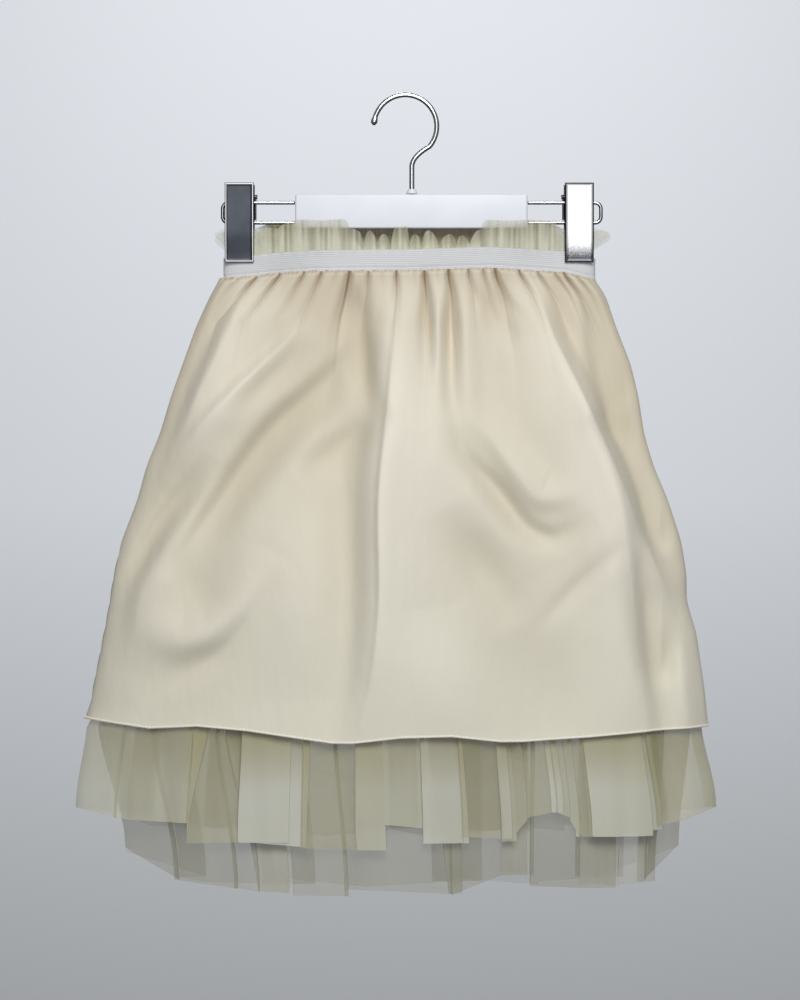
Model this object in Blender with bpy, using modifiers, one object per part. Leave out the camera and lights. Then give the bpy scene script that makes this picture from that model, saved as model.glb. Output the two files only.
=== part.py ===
"""Gathered chiffon skirt over two tulle tiers, hung on a clip hanger.

Sizes below are millimetres in the model's frame: X to the right, Y away from the
viewer, Z up, with the origin where the hook's inside rests on its support.
"""

import math

import bmesh
import bpy

MM = 0.001
GAP = 0.3

# Cloth walls.
CREAM_WALL = 1.2
TULLE_WALL = 1.0
BAND_WALL = 1.2

# Where panels meet end to end, their middle surfaces stay this far apart.
BAND_SEAM = 0.5

# Elastic waistband.
BAND_HEIGHT = 15.8
BAND_LEFT = -137.0
BAND_RIGHT = 143.0
WAIST_DEPTH = 13.0
GRIP_DEPTH = 6.0
BAND_COLUMNS = 56
END_CROWDING = 1.6
# The waist is flat where the clips grip it and swells between them; both are shares of its half width.
CLIP_SHARE = 0.84
SWELL_SHARE = 0.42
WAIST_END_POWER = 20

# Skirt depths at the cream hem, from the middle plane to the front and the back.
CREAM_TOP = -135.0
CREAM_LENGTH = 342.0
FRONT_DEPTH = 48.0
BACK_DEPTH = 26.0
DEPTH_POWER = 0.8
MOST_DROP = 1.15
LENS_POWER = 2.6
LENS_ROOT = 0.62
# The flat waist becomes a lens in plan by this drop, and the large folds begin below the other.
LENS_DROP = 0.35
FOLD_DROP = 0.1
FOLD_SIDE_FADE = 0.12
FOLD_END = 0.08

# Gathers under the band.
GATHERS = 24
GATHER_LIFT = 1.4
GATHER_RISE = 1.5
GATHER_LENGTH = 42.0
GATHER_SIDE_FADE = 0.06
COLUMNS_PER_GATHER = 3
CREAM_ROWS = (0.0, 0.035, 0.09, 0.17, 0.28, 0.42, 0.56, 0.7, 0.85, 1.0)
# How far the left side seam lies round the front at the hem, as a share of the half width.
LEFT_SEAM_TURN = 0.05
SEAM_TURN_START = 0.6
SEAM_HALF_GAP = 0.0016

# The tulle lies this far inside the cream layer, at the band and at the cream hem.
SHORT_INSET = (2.4, 10.0)
LONG_INSET = (4.2, 20.0)
SHORT_SIDE_INSET = (5.6, 5.6)
LONG_SIDE_INSET = (10.0, 13.0)
RUFFLE_SIDE_INSET = 3.6
CREAM_HEM = -476.0
FLARE_TOP = -462.0
# The insets are reached by these drops.
# A pleat's top edge stands this far out, at the band and at the hem.
SIDE_INSET_DROP = 0.2
INSET_DROP = 0.5
PLEAT_RISE = (0.1, 4.0)
PLEAT_SIDE_FADE = 0.18
TULLE_SEAM = 0.7
BACK_SHARE = 0.5
BACK_RISE_SHARE = 0.7
TULLE_ROWS = (0.0, 0.028, 0.13, 0.3, 0.55, 0.78, 0.9, 1.0)

# Heading ruffle above the band.
RUFFLE_WAVES = 22
RUFFLE_RISE = 2.6
RUFFLE_TUCK = 4.0
RUFFLE_ROWS = (0.0, 0.35, 1.0)
RUFFLE_LEAN = 0.6
RUFFLE_SIDE_FADE = 0.03
TIP_WAVE = 1.0
GRIP_MARGIN = 1.0
GRIP_FADE = 5.0
COLUMNS_PER_WAVE = 3

# Outline of the cream layer seen from the front: height, left edge, right edge.
OUTLINE = (
    (-100, -137, 143),
    (-134, -138, 140),
    (-148, -146, 150),
    (-172, -157, 158),
    (-200, -167, 169),
    (-225, -176, 175),
    (-252, -184, 179),
    (-276, -194, 186),
    (-302, -201, 197),
    (-333, -213, 207),
    (-358, -219, 211),
    (-378, -222, 211),
    (-400, -226, 218),
    (-440, -234, 224),
    (-472, -239, 227),
)
# Upper edge of the band: distance from the middle, height.
BAND_TOP = ((-137, -121), (-94, -117), (-66, -115.5), (3, -115), (63, -113), (119, -116), (143, -121.5))
# Cream hems: distance from the middle, height.
HEM_FRONT = (
    (-240, -465),
    (-190, -471),
    (-154, -469),
    (-117, -472),
    (-54, -481),
    (-39, -481),
    (-4, -477),
    (34, -476),
    (70, -480),
    (86, -480),
    (135, -477),
    (183, -473),
    (227, -471),
)
HEM_BACK = ((-240, -462), (-120, -470), (0, -472), (120, -471), (227, -469))
# Large folds: start x, start z, end x, end z, half width, rise towards the outside.
FRONT_FOLDS = (
    (-112, -140, -176, -280, 20, 4.0),
    (-45, -205, -158, -330, 20, -5.0),
    (-25, -236, -36, -430, 18, -5.0),
    (-4, -150, -40, -500, 20, 4.5),
    (37, -250, 105, -330, 18, -4.0),
    (87, -140, 200, -390, 20, 4.5),
    (176, -330, 200, -450, 18, -6.0),
    (-117, -365, -190, -410, 18, 3.5),
    (-105, -378, -190, -450, 18, -4.0),
)
BACK_FOLDS = (
    (-100, -145, -165, -330, 22, 3.0),
    (-40, -160, -60, -490, 24, -3.0),
    (30, -150, 20, -490, 22, 3.0),
    (90, -150, 150, -480, 22, 3.0),
    (120, -260, 185, -470, 22, -3.0),
)
# Tulle pleats at the hem: left edge, right edge, height at each, and the edge that lies on top.
SHORT_FRONT = (
    (-247, -162, -532, -541, 1),
    (-162, -124, -556, -555, -1),
    (-124, -77, -554, -558, -1),
    (-77, -37, -559, -560, -1),
    (-37, 38, -539, -548, -1),
    (38, 71, -550, -552, -1),
    (71, 110, -552, -535, -1),
    (110, 139, -534, -550, 1),
    (139, 187, -550, -546, 1),
    (187, 233, -544, -532, -1),
)
SHORT_BACK = (
    (-247, -190, -533, -540, 1),
    (-190, -128, -548, -550, 1),
    (-128, -60, -553, -556, -1),
    (-60, 10, -556, -550, 1),
    (10, 72, -556, -552, 1),
    (72, 120, -548, -552, -1),
    (120, 180, -548, -544, 1),
    (180, 233, -540, -532, -1),
)
LONG_FRONT = (
    (-210, -146, -562, -590, 1),
    (-146, -108, -590, -592, -1),
    (-108, -83, -592, -594, -1),
    (-83, -42, -595, -595, -1),
    (-42, 34, -590, -593, 1),
    (34, 71, -594, -580, -1),
    (71, 92, -577, -580, -1),
    (92, 129, -588, -590, -1),
    (129, 178, -588, -586, 1),
    (178, 205, -584, -560, -1),
)
LONG_BACK = (
    (-210, -150, -566, -586, 1),
    (-150, -90, -590, -592, 1),
    (-90, -30, -588, -594, -1),
    (-30, 40, -594, -590, 1),
    (40, 100, -588, -592, -1),
    (100, 150, -590, -586, 1),
    (150, 205, -584, -562, -1),
)
# Where two pleats meet, the top one reaches this far over the low one, or both stop short by it.
TUCK = 1.25
PLEAT_STEP = 20.0
END_STRIP = 5.0
# Tips of the heading ruffle: distance from the middle, height at the front, height at the back.
RUFFLE_TIPS = (
    (-143, -106, -105),
    (-136, -101, -101),
    (-112, -101, -101),
    (-106, -99, -99),
    (-96, -98, -98.5),
    (-78, -93, -97),
    (-46, -93, -99),
    (-38, -101, -98),
    (0, -99, -97),
    (50, -103, -99),
    (62, -93, -98),
    (108, -95, -98),
    (118, -101, -101),
    (142, -101, -101),
    (154, -105, -105),
)

# Hook.
HOOK_WIRE = 3.8
HOOK_RADIUS = 23.6
HOOK_TIP_ANGLE = 178.0
HOOK_LEAVE_ANGLE = -40.0
STEM_X = 4.9
STEM_BEND_Z = -52.0
STEM_BEND_STEPS = 4
HOOK_STEPS = 22
HOOK_TIP_SWELLS = (0.8, 1.35)
FERRULE_RADIUS = 4.2
FERRULE_HEIGHT = 3.5
FERRULE_TAPER = 1.2

# Bar.
BAR_LEFT = -82.5
BAR_RIGHT = 91.5
BAR_TOP = -72.8
BAR_BOTTOM = -98.6
BAR_THICKNESS = 7.0
BAR_CORNER = 1.2

# Wire rails and clips.
RAIL_WIRE = 2.8
RAIL_TOP = -79.1
RAIL_BOTTOM = -94.1
RAIL_LEFT = -137.0
RAIL_RIGHT = 146.7
RAIL_CORNER = 4.5
CLIPS = (("left", -135.0, -113.3), ("right", 119.3, 140.9))
CLIP_TOP = -64.8
CLIP_BOTTOM = -124.2
CLIP_PLATE = 1.4
CLIP_FACE = 8.4
CLIP_KNEE = -104.0
JAW_HEIGHT = 4.0
PLATE_EDGE = 0.25
BRACKET_TOP = -74.0
BRACKET_BOTTOM = -97.2
BRACKET_MARGIN = 2.5
RAIL_CLEARANCE = 0.3
CUTTER_LENGTH = 40.0


def smooth(value):
    """0 to 1 with soft ends."""
    value = min(1.0, max(0.0, value))
    return value * value * (3 - 2 * value)


def between(first, second, share):
    return first + (second - first) * share


def read(table, x, column=1):
    """A column of a table read at x, straight between the rows."""
    rows = sorted(table, key=lambda row: row[0])
    if x <= rows[0][0]:
        return rows[0][column]
    for low, high in zip(rows, rows[1:]):
        if x <= high[0]:
            return between(low[column], high[column], (x - low[0]) / (high[0] - low[0]))
    return rows[-1][column]


def edges_at(z):
    """Left and right edge of the cream layer at a height."""
    return read(OUTLINE, z, 1), read(OUTLINE, z, 2)


def drop_at(z):
    """0 at the band and 1 at the cream hem."""
    return min(MOST_DROP, max(0.0, (CREAM_TOP - z) / CREAM_LENGTH))


def waist_depth(s, inset=0.0):
    """Distance from the middle plane at the band: pinched flat where the clips grip it."""
    edge = max(0.0, 1 - abs(s) ** WAIST_END_POWER) ** 0.5
    swell = smooth((CLIP_SHARE - abs(s)) / SWELL_SHARE)
    return (GRIP_DEPTH - inset) * edge + (WAIST_DEPTH - GRIP_DEPTH) * swell


def lens_shape(s):
    return max(0.0, 1 - abs(s) ** LENS_POWER) ** LENS_ROOT


def fold_rise(folds, x, z):
    """Height of the large folds: each is a soft ridge or trough along a straight line."""
    total = 0.0
    for x0, z0, x1, z1, half_width, rise in folds:
        run_x, run_z = x1 - x0, z1 - z0
        share = ((x - x0) * run_x + (z - z0) * run_z) / (run_x**2 + run_z**2)
        share = min(1.0, max(0.0, share))
        distance = math.hypot(x - x0 - share * run_x, z - z0 - share * run_z)
        taper = math.sin(math.pi * between(FOLD_END, 1 - FOLD_END, share))
        total += rise * math.exp(-((distance / half_width) ** 2)) * taper
    return total


def layer_depth(s, z, x, is_front, inset=0.0):
    """Distance of a cloth layer from the middle plane: the cream layer, or one that lies inset in it."""
    drop = drop_at(z)
    deepest = between(WAIST_DEPTH, FRONT_DEPTH if is_front else BACK_DEPTH, drop**DEPTH_POWER)
    lens = (deepest - inset) * lens_shape(s)
    folds = FRONT_FOLDS if is_front else BACK_FOLDS
    side_fade = smooth((1 - abs(s)) / FOLD_SIDE_FADE)
    plain = between(waist_depth(s, inset), lens, smooth(drop / LENS_DROP))
    return plain + fold_rise(folds, x, z) * side_fade * smooth(drop / FOLD_DROP)


def wrapped(s, is_front):
    """A place past the left fold lies on the other side."""
    return (-2 - s, not is_front) if s < -1 else (s, is_front)


def seam_turn(share, side):
    """How far round the front the left side seam lies, with half the seam's gap to either side."""
    turn = LEFT_SEAM_TURN * max(0.0, (share - SEAM_TURN_START) / (1 - SEAM_TURN_START))
    return turn + side * SEAM_HALF_GAP if turn > 0 else 0.0


def gather_wave(s):
    """Uneven gathers, one wave for each, from -1 to 1."""
    phase = math.pi * GATHERS * (s + 1) + 0.5 * math.sin(5.1 * s + 0.7)
    return math.cos(phase) * (0.75 + 0.25 * math.sin(9 * s + 1))


def cream_point(s, share, is_front):
    """A point of the cream layer: s from -1 left to 1 right, share 0 at the band and 1 at the hem."""
    s, is_front = wrapped(s, is_front)
    sign = -1 if is_front else 1
    guess = between(CREAM_TOP, CREAM_HEM, share)
    for _ in range(3):
        left, right = edges_at(guess)
        x = between(left, right, (s + 1) / 2)
        top = read(BAND_TOP, x) - BAND_HEIGHT - BAND_SEAM
        guess = between(top, read(HEM_FRONT if is_front else HEM_BACK, x), share)
    z = guess
    fade = math.exp(-(top - z) / GATHER_LENGTH)
    side_fade = smooth((1 - abs(s)) / GATHER_SIDE_FADE)
    gather = (GATHER_LIFT + GATHER_RISE * gather_wave(s)) * fade * side_fade
    outward = layer_depth(s, z, x, is_front) + gather
    return x, sign * max(outward, (CREAM_WALL + GAP) / 2), z


def band_point(s, share, is_front):
    x = between(BAND_LEFT + BAND_WALL / 2, BAND_RIGHT - BAND_WALL / 2, (s + 1) / 2)
    z = read(BAND_TOP, x) - BAND_HEIGHT * share
    return x, (-1 if is_front else 1) * waist_depth(s, BAND_WALL / 2), z


def ruffle_point(s, share, is_front):
    """share runs from the base behind the band to the tips."""
    sign = -1 if is_front else 1
    low_x = between(BAND_LEFT + RUFFLE_SIDE_INSET, BAND_RIGHT - RUFFLE_SIDE_INSET, (s + 1) / 2)
    high_x = between(RUFFLE_TIPS[0][0], RUFFLE_TIPS[-1][0], (s + 1) / 2)
    rise = smooth((share - RUFFLE_ROWS[1]) / (1 - RUFFLE_ROWS[1]))
    x = between(low_x, high_x, rise)
    wave = math.cos(math.pi * RUFFLE_WAVES * (s + 1) + 0.6 * math.sin(7 * s))
    base = read(BAND_TOP, low_x) - RUFFLE_TUCK
    tip = read(RUFFLE_TIPS, high_x, 1 if is_front else 2) + TIP_WAVE * wave
    z = between(base, tip, share)
    grip = 1 - max(clip_grip(x), clip_grip(low_x))
    side_fade = smooth((1 - abs(s)) / RUFFLE_SIDE_FADE)
    flare = RUFFLE_RISE * (RUFFLE_LEAN + wave) * rise * grip * side_fade
    outward = waist_depth(s, SHORT_INSET[0]) + flare
    return x, sign * max(outward, (TULLE_WALL + GAP) / 2), z


def clip_grip(x):
    """1 where a clip holds the cloth, 0 away from it."""
    near = [smooth((max(left - x, x - right) - GRIP_MARGIN) / GRIP_FADE) for _, left, right in CLIPS]
    return 1 - min(near)


def tulle_point(table, insets, side_inset, s, lift, share, is_front):
    """A point of a tulle tier: lift is 0 on a pleat's low edge and 1 on its top edge."""
    sign = -1 if is_front else 1
    hem_left, hem_right = table[0][0], table[-1][1]
    x_hem = between(hem_left, hem_right, (s + 1) / 2)
    hem = pleat_hem(table, x_hem)
    guess = between(CREAM_TOP, hem, share)
    for _ in range(3):
        left, right = edges_at(max(guess, CREAM_HEM))
        tuck_in = between(side_inset[0], side_inset[1], smooth(drop_at(guess) / SIDE_INSET_DROP))
        flare = smooth((FLARE_TOP - guess) / (FLARE_TOP - hem))
        x = between(between(left + tuck_in, right - tuck_in, (s + 1) / 2), x_hem, flare)
        top = read(BAND_TOP, x) - RUFFLE_TUCK - TULLE_SEAM
        guess = between(top, hem, share)
    z = guess
    drop = drop_at(z)
    inset = between(insets[0], insets[1], smooth(drop / INSET_DROP))
    side_fade = smooth((1 - abs(s)) / PLEAT_SIDE_FADE)
    depth = layer_depth(s, max(z, CREAM_HEM), x, is_front, inset)
    rise = between(PLEAT_RISE[0], PLEAT_RISE[1], share) * lift * side_fade
    return x, sign * max(depth + rise, (TULLE_WALL + GAP) / 2), z


def pleat_hem(table, x):
    for left, right, low, high, _ in table:
        if x <= right:
            return between(low, high, (x - left) / (right - left))
    return table[-1][3]


def pleat_columns(table):
    """Places and lifts of the columns of a pleated tier: three or more for each pleat."""
    left_end, right_end = table[0][0], table[-1][1]
    columns = []
    for index, (left, right, _, _, top_edge) in enumerate(table):
        left_lift, right_lift = (0.0, 1.0) if top_edge > 0 else (1.0, 0.0)
        before = table[index - 1][4] if index else 0
        after = table[index + 1][4] if index + 1 < len(table) else 0
        start = left + (0.0 if not index else (-TUCK if left_lift and before < 0 else TUCK))
        end = right - (0.0 if not after else (-TUCK if right_lift and after > 0 else TUCK))
        steps = max(2, round((end - start) / PLEAT_STEP))
        shares = [step / steps for step in range(steps + 1)]
        if not index:
            shares.insert(1, END_STRIP / (end - start))
        if index + 1 == len(table):
            shares.insert(-1, 1 - END_STRIP / (end - start))
        for along in shares:
            x = between(start, end, along)
            s = 2 * (x - left_end) / (right_end - left_end) - 1
            columns.append((s, between(left_lift, right_lift, along)))
    return columns


def grid_mesh(name, columns, rows):
    """A flat grid whose corners carry their column and row as x and y."""
    built = bmesh.new()
    bmesh.ops.create_grid(built, x_segments=columns - 1, y_segments=rows - 1, size=0.5)
    for corner in built.verts:
        corner.co.x = round((corner.co.x + 0.5) * (columns - 1))
        corner.co.y = round((corner.co.y + 0.5) * (rows - 1))
    mesh = bpy.data.meshes.new(name)
    built.to_mesh(mesh)
    built.free()
    return mesh


def material(name, colour, roughness, metallic=0.0):
    made = bpy.data.materials.new(name)
    made.use_nodes = True
    shader = made.node_tree.nodes["Principled BSDF"]
    shader.inputs["Base Color"].default_value = (*colour, 1.0)
    shader.inputs["Roughness"].default_value = roughness
    shader.inputs["Metallic"].default_value = metallic
    return made


def place(mesh, name, collection, finish):
    made = bpy.data.objects.new(name, mesh)
    made.data.materials.append(finish)
    collection.objects.link(made)
    return made


def cloth(name, collection, finish, columns, rows, point, wall):
    """A panel: an open grid moved to its surface, then given its wall."""
    mesh = grid_mesh(name, len(columns), len(rows))
    for corner in mesh.vertices:
        column, row = columns[round(corner.co.x)], rows[round(corner.co.y)]
        corner.co = [MM * value for value in point(column, row)]
    made = place(mesh, name, collection, finish)
    thickness = made.modifiers.new("Wall", "SOLIDIFY")
    thickness.thickness = wall * MM
    thickness.offset = 0.0
    mesh.shade_smooth()


def even(count):
    """Count plus one places from -1 to 1."""
    return [2 * index / count - 1 for index in range(count + 1)]


def make_cream(collection, finish):
    count = GATHERS * COLUMNS_PER_GATHER

    def front(s, share):
        return cream_point(between(-1 + seam_turn(share, 1), 1, (s + 1) / 2), share, True)

    def back(s, share):
        return cream_point(between(-1 - seam_turn(share, -1), 1, (s + 1) / 2), share, False)

    cloth("skirt_front", collection, finish, even(count), CREAM_ROWS, front, CREAM_WALL)
    cloth("skirt_back", collection, finish, even(count), CREAM_ROWS, back, CREAM_WALL)


def make_tiers(collection, finish):
    tiers = (
        ("tulle_short_front", SHORT_FRONT, SHORT_INSET, SHORT_SIDE_INSET, True),
        ("tulle_short_back", SHORT_BACK, SHORT_INSET, SHORT_SIDE_INSET, False),
        ("tulle_long_front", LONG_FRONT, LONG_INSET, LONG_SIDE_INSET, True),
        ("tulle_long_back", LONG_BACK, LONG_INSET, LONG_SIDE_INSET, False),
    )
    for name, table, insets, side_inset, is_front in tiers:

        def point(column, share):
            s, lift = column
            if is_front:
                return tulle_point(table, insets, side_inset, s, lift, share, True)
            depths = (insets[0], between(insets[0], insets[1], BACK_SHARE))
            return tulle_point(table, depths, side_inset, s, lift * BACK_RISE_SHARE, share, False)

        cloth(name, collection, finish, pleat_columns(table), TULLE_ROWS, point, TULLE_WALL)


def make_ruffles(collection, finish):
    count = RUFFLE_WAVES * COLUMNS_PER_WAVE
    for name, is_front in (("ruffle_front", True), ("ruffle_back", False)):
        cloth(
            name,
            collection,
            finish,
            even(count),
            RUFFLE_ROWS,
            lambda s, share: ruffle_point(s, share, is_front),
            TULLE_WALL,
        )


def make_band(collection, finish):
    """The elastic is one closed loop: an open tube moved to its shape."""
    built = bmesh.new()
    bmesh.ops.create_cone(built, segments=BAND_COLUMNS, radius1=1, radius2=1, depth=2, cap_ends=False)
    for corner in built.verts:
        s = 2 / math.pi * math.asin(min(1.0, max(-1.0, corner.co.x)))
        s = math.copysign(1 - (1 - abs(s)) ** END_CROWDING, s)
        share = 0.0 if corner.co.z > 0 else 1.0
        corner.co = [MM * value for value in band_point(s, share, corner.co.y < 0)]
    mesh = bpy.data.meshes.new("waistband")
    built.to_mesh(mesh)
    built.free()
    made = place(mesh, "waistband", collection, finish)
    wall = made.modifiers.new("Wall", "SOLIDIFY")
    wall.thickness = BAND_WALL * MM
    wall.offset = 0.0
    mesh.shade_smooth()


def poly_wire(name, collection, finish, points, diameter, swells=None):
    """A wire through points, with flat filled ends."""
    curve = bpy.data.curves.new(name, "CURVE")
    curve.dimensions = "3D"
    curve.bevel_depth = diameter * MM / 2
    curve.bevel_resolution = 2
    curve.use_fill_caps = True
    spline = curve.splines.new("POLY")
    spline.points.add(len(points) - 1)
    for index, route_point in enumerate(points):
        spline.points[index].co = (*[MM * value for value in route_point], 1.0)
        spline.points[index].radius = swells[index] if swells else 1.0
    made = bpy.data.objects.new(name, curve)
    curve.materials.append(finish)
    collection.objects.link(made)


def hook_points():
    """The route of the hook: its arc, an S bend and the straight stem, with the swell of its tip."""
    centre_z = -(HOOK_RADIUS - HOOK_WIRE / 2)
    points, swells = [], []
    for index in range(HOOK_STEPS + 1):
        angle = math.radians(between(HOOK_TIP_ANGLE, HOOK_LEAVE_ANGLE, index / HOOK_STEPS))
        points.append((HOOK_RADIUS * math.cos(angle), 0.0, centre_z + HOOK_RADIUS * math.sin(angle)))
        swells.append(HOOK_TIP_SWELLS[index] if index < len(HOOK_TIP_SWELLS) else 1.0)
    leave_x, _, leave_z = points[-1]
    for step in range(1, STEM_BEND_STEPS + 1):
        share = step / STEM_BEND_STEPS
        x = between(leave_x, STEM_X, 1 - (1 - share) ** 2)
        points.append((x, 0.0, between(leave_z, STEM_BEND_Z, share)))
        swells.append(1.0)
    points.append((STEM_X, 0.0, BAR_TOP + GAP))
    swells.append(1.0)
    return points, swells


def make_hook(collection, chrome):
    points, swells = hook_points()
    poly_wire("hook", collection, chrome, points, HOOK_WIRE, swells)
    inner = HOOK_WIRE / 2 + GAP
    low, high = BAR_TOP + GAP, BAR_TOP + GAP + FERRULE_HEIGHT
    outline = ((inner, high), (FERRULE_RADIUS - FERRULE_TAPER, high), (FERRULE_RADIUS, low), (inner, low))
    turned("hook_ferrule", collection, chrome, outline, STEM_X)


def turned(name, collection, finish, outline, x):
    """A ring turned about the stem's line."""
    built = bmesh.new()
    corners = [built.verts.new((MM * radius, 0.0, MM * z)) for radius, z in outline]
    for first, second in zip(corners, corners[1:] + corners[:1]):
        built.edges.new((first, second))
    mesh = bpy.data.meshes.new(name)
    built.to_mesh(mesh)
    built.free()
    made = place(mesh, name, collection, finish)
    made.location.x = x * MM
    turn = made.modifiers.new("Turn", "SCREW")
    turn.steps = 20
    turn.render_steps = 20
    turn.use_merge_vertices = True
    turn.merge_threshold = 0.00001


def box(name, low, high):
    """A box mesh between two corners."""
    built = bmesh.new()
    bmesh.ops.create_cube(built, size=1.0)
    for corner in built.verts:
        corner.co = [MM * between(a, b, value + 0.5) for a, b, value in zip(low, high, corner.co)]
    mesh = bpy.data.meshes.new(name)
    built.to_mesh(mesh)
    built.free()
    return mesh


def make_bar(collection, finish):
    half = BAR_THICKNESS / 2
    mesh = box("hanger_bar", (BAR_LEFT, -half, BAR_BOTTOM), (BAR_RIGHT, half, BAR_TOP))
    made = place(mesh, "hanger_bar", collection, finish)
    rounded = made.modifiers.new("Rounded edges", "BEVEL")
    rounded.width = BAR_CORNER * MM
    rounded.segments = 2
    mesh.shade_smooth()


def make_rails(collection, chrome):
    """One bent wire at each end of the bar: out along the top, round the end and back."""
    wires = (
        ("wire_left", BAR_LEFT - GAP, RAIL_LEFT),
        ("wire_right", BAR_RIGHT + GAP, RAIL_RIGHT),
    )
    corners = ((RAIL_TOP - RAIL_CORNER, 90, 180), (RAIL_BOTTOM + RAIL_CORNER, 180, 270))
    for name, start, end in wires:
        inward = RAIL_CORNER if end < start else -RAIL_CORNER
        points = [(start, 0.0, RAIL_TOP)]
        for centre_z, first, last in corners:
            for step in range(5):
                angle = math.radians(between(first, last, step / 4))
                x = end + inward + inward * math.cos(angle)
                points.append((x, 0.0, centre_z + RAIL_CORNER * math.sin(angle)))
        points.append((start, 0.0, RAIL_BOTTOM))
        poly_wire(name, collection, chrome, points, RAIL_WIRE)


def plate_outline(side):
    """Side view of a clip plate as y, z: flat over the rails, then bent in to grip the band."""
    grip = GRIP_DEPTH + GAP
    jaw = CLIP_BOTTOM + JAW_HEIGHT
    outer = [(CLIP_FACE + CLIP_PLATE, CLIP_TOP), (CLIP_FACE + CLIP_PLATE, CLIP_KNEE)]
    outer += [(grip + CLIP_PLATE, jaw), (grip + CLIP_PLATE, CLIP_BOTTOM)]
    inner = [(grip, CLIP_BOTTOM), (grip, jaw), (CLIP_FACE, CLIP_KNEE), (CLIP_FACE, CLIP_TOP)]
    return [(side * y, z) for y, z in outer + inner]


def extruded(name, collection, finish, outline, low_x, high_x):
    """A side-view outline of y, z carried from one x to the other."""
    built = bmesh.new()
    corners = [built.verts.new((MM * low_x, MM * y, MM * z)) for y, z in outline]
    face = built.faces.new(corners)
    grown = bmesh.ops.extrude_face_region(built, geom=[face])
    moved = [part for part in grown["geom"] if isinstance(part, bmesh.types.BMVert)]
    bmesh.ops.translate(built, verts=moved, vec=(MM * (high_x - low_x), 0.0, 0.0))
    bmesh.ops.recalc_face_normals(built, faces=built.faces)
    mesh = bpy.data.meshes.new(name)
    built.to_mesh(mesh)
    built.free()
    made = place(mesh, name, collection, finish)
    rounded = made.modifiers.new("Rounded edges", "BEVEL")
    rounded.width = PLATE_EDGE * MM
    rounded.segments = 1


def make_clips(collection, cutters, chrome, dark_steel):
    hole = RAIL_WIRE / 2 + RAIL_CLEARANCE
    for side, left, right in CLIPS:
        extruded(f"clip_{side}_front", collection, chrome, plate_outline(-1), left, right)
        extruded(f"clip_{side}_back", collection, chrome, plate_outline(1), left, right)
        reach = CLIP_FACE - GAP
        low = (left + BRACKET_MARGIN, -reach, BRACKET_BOTTOM)
        high = (right - BRACKET_MARGIN, reach, BRACKET_TOP)
        name = f"clip_{side}_bracket"
        bracket = place(box(name, low, high), name, collection, dark_steel)
        for rail, z in (("top", RAIL_TOP), ("bottom", RAIL_BOTTOM)):
            cutter = rail_cutter(f"cutter_{side}_{rail}", cutters, (left + right) / 2, z, hole)
            cut = bracket.modifiers.new(f"Rail hole {rail}", "BOOLEAN")
            cut.operation = "DIFFERENCE"
            cut.object = cutter


def rail_cutter(name, cutters, x, z, radius):
    built = bmesh.new()
    bmesh.ops.create_cone(
        built,
        segments=16,
        radius1=MM * radius,
        radius2=MM * radius,
        depth=MM * CUTTER_LENGTH,
        cap_ends=True,
    )
    mesh = bpy.data.meshes.new(name)
    built.to_mesh(mesh)
    built.free()
    cutter = bpy.data.objects.new(name, mesh)
    cutter.location = (x * MM, 0.0, z * MM)
    cutter.rotation_euler.y = math.pi / 2
    cutter.hide_render = True
    cutter.display_type = "WIRE"
    cutters.objects.link(cutter)
    return cutter


def clear_scene():
    for thing in list(bpy.data.objects):
        bpy.data.objects.remove(thing, do_unlink=True)


def collection_named(name):
    made = bpy.data.collections.new(name)
    bpy.context.scene.collection.children.link(made)
    return made


def main():
    clear_scene()
    collection = collection_named("chiffon_skirt_on_clip_hanger")
    cutters = collection_named("cutters")
    cream = material("cream_chiffon", (0.78, 0.69, 0.57), 0.55)
    tulle = material("tulle", (0.62, 0.63, 0.5), 0.7)
    elastic = material("elastic", (0.72, 0.73, 0.76), 0.65)
    chrome = material("chrome", (0.75, 0.76, 0.78), 0.12, 1.0)
    dark_steel = material("dark_steel", (0.09, 0.09, 0.1), 0.35, 1.0)
    white = material("white_bar", (0.86, 0.87, 0.88), 0.4)
    make_cream(collection, cream)
    make_tiers(collection, tulle)
    make_ruffles(collection, tulle)
    make_band(collection, elastic)
    make_hook(collection, chrome)
    make_bar(collection, white)
    make_rails(collection, chrome)
    make_clips(collection, cutters, chrome, dark_steel)


main()
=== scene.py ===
"""Looks of the gathered chiffon skirt over two tulle tiers, hung on its clip hanger.

Sizes are millimetres in the model's frame: X to the right, Y away from the viewer,
Z up, with the origin where the hook's inside rests on its support.
"""

import math

import bmesh
import bpy
import numpy as np
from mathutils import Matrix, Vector

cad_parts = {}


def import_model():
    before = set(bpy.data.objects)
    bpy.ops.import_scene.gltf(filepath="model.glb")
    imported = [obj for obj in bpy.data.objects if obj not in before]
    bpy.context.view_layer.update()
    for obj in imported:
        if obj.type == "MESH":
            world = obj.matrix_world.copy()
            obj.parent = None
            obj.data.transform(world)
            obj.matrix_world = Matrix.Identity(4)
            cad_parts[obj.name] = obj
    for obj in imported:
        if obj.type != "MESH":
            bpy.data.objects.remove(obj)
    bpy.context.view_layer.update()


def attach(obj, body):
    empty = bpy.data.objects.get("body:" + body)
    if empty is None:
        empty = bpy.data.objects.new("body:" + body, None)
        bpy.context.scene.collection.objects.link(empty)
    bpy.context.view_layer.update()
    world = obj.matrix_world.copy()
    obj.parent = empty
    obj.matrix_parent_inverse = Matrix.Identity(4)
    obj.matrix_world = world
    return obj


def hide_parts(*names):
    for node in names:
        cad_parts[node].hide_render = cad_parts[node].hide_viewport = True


MM = 0.001

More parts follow.
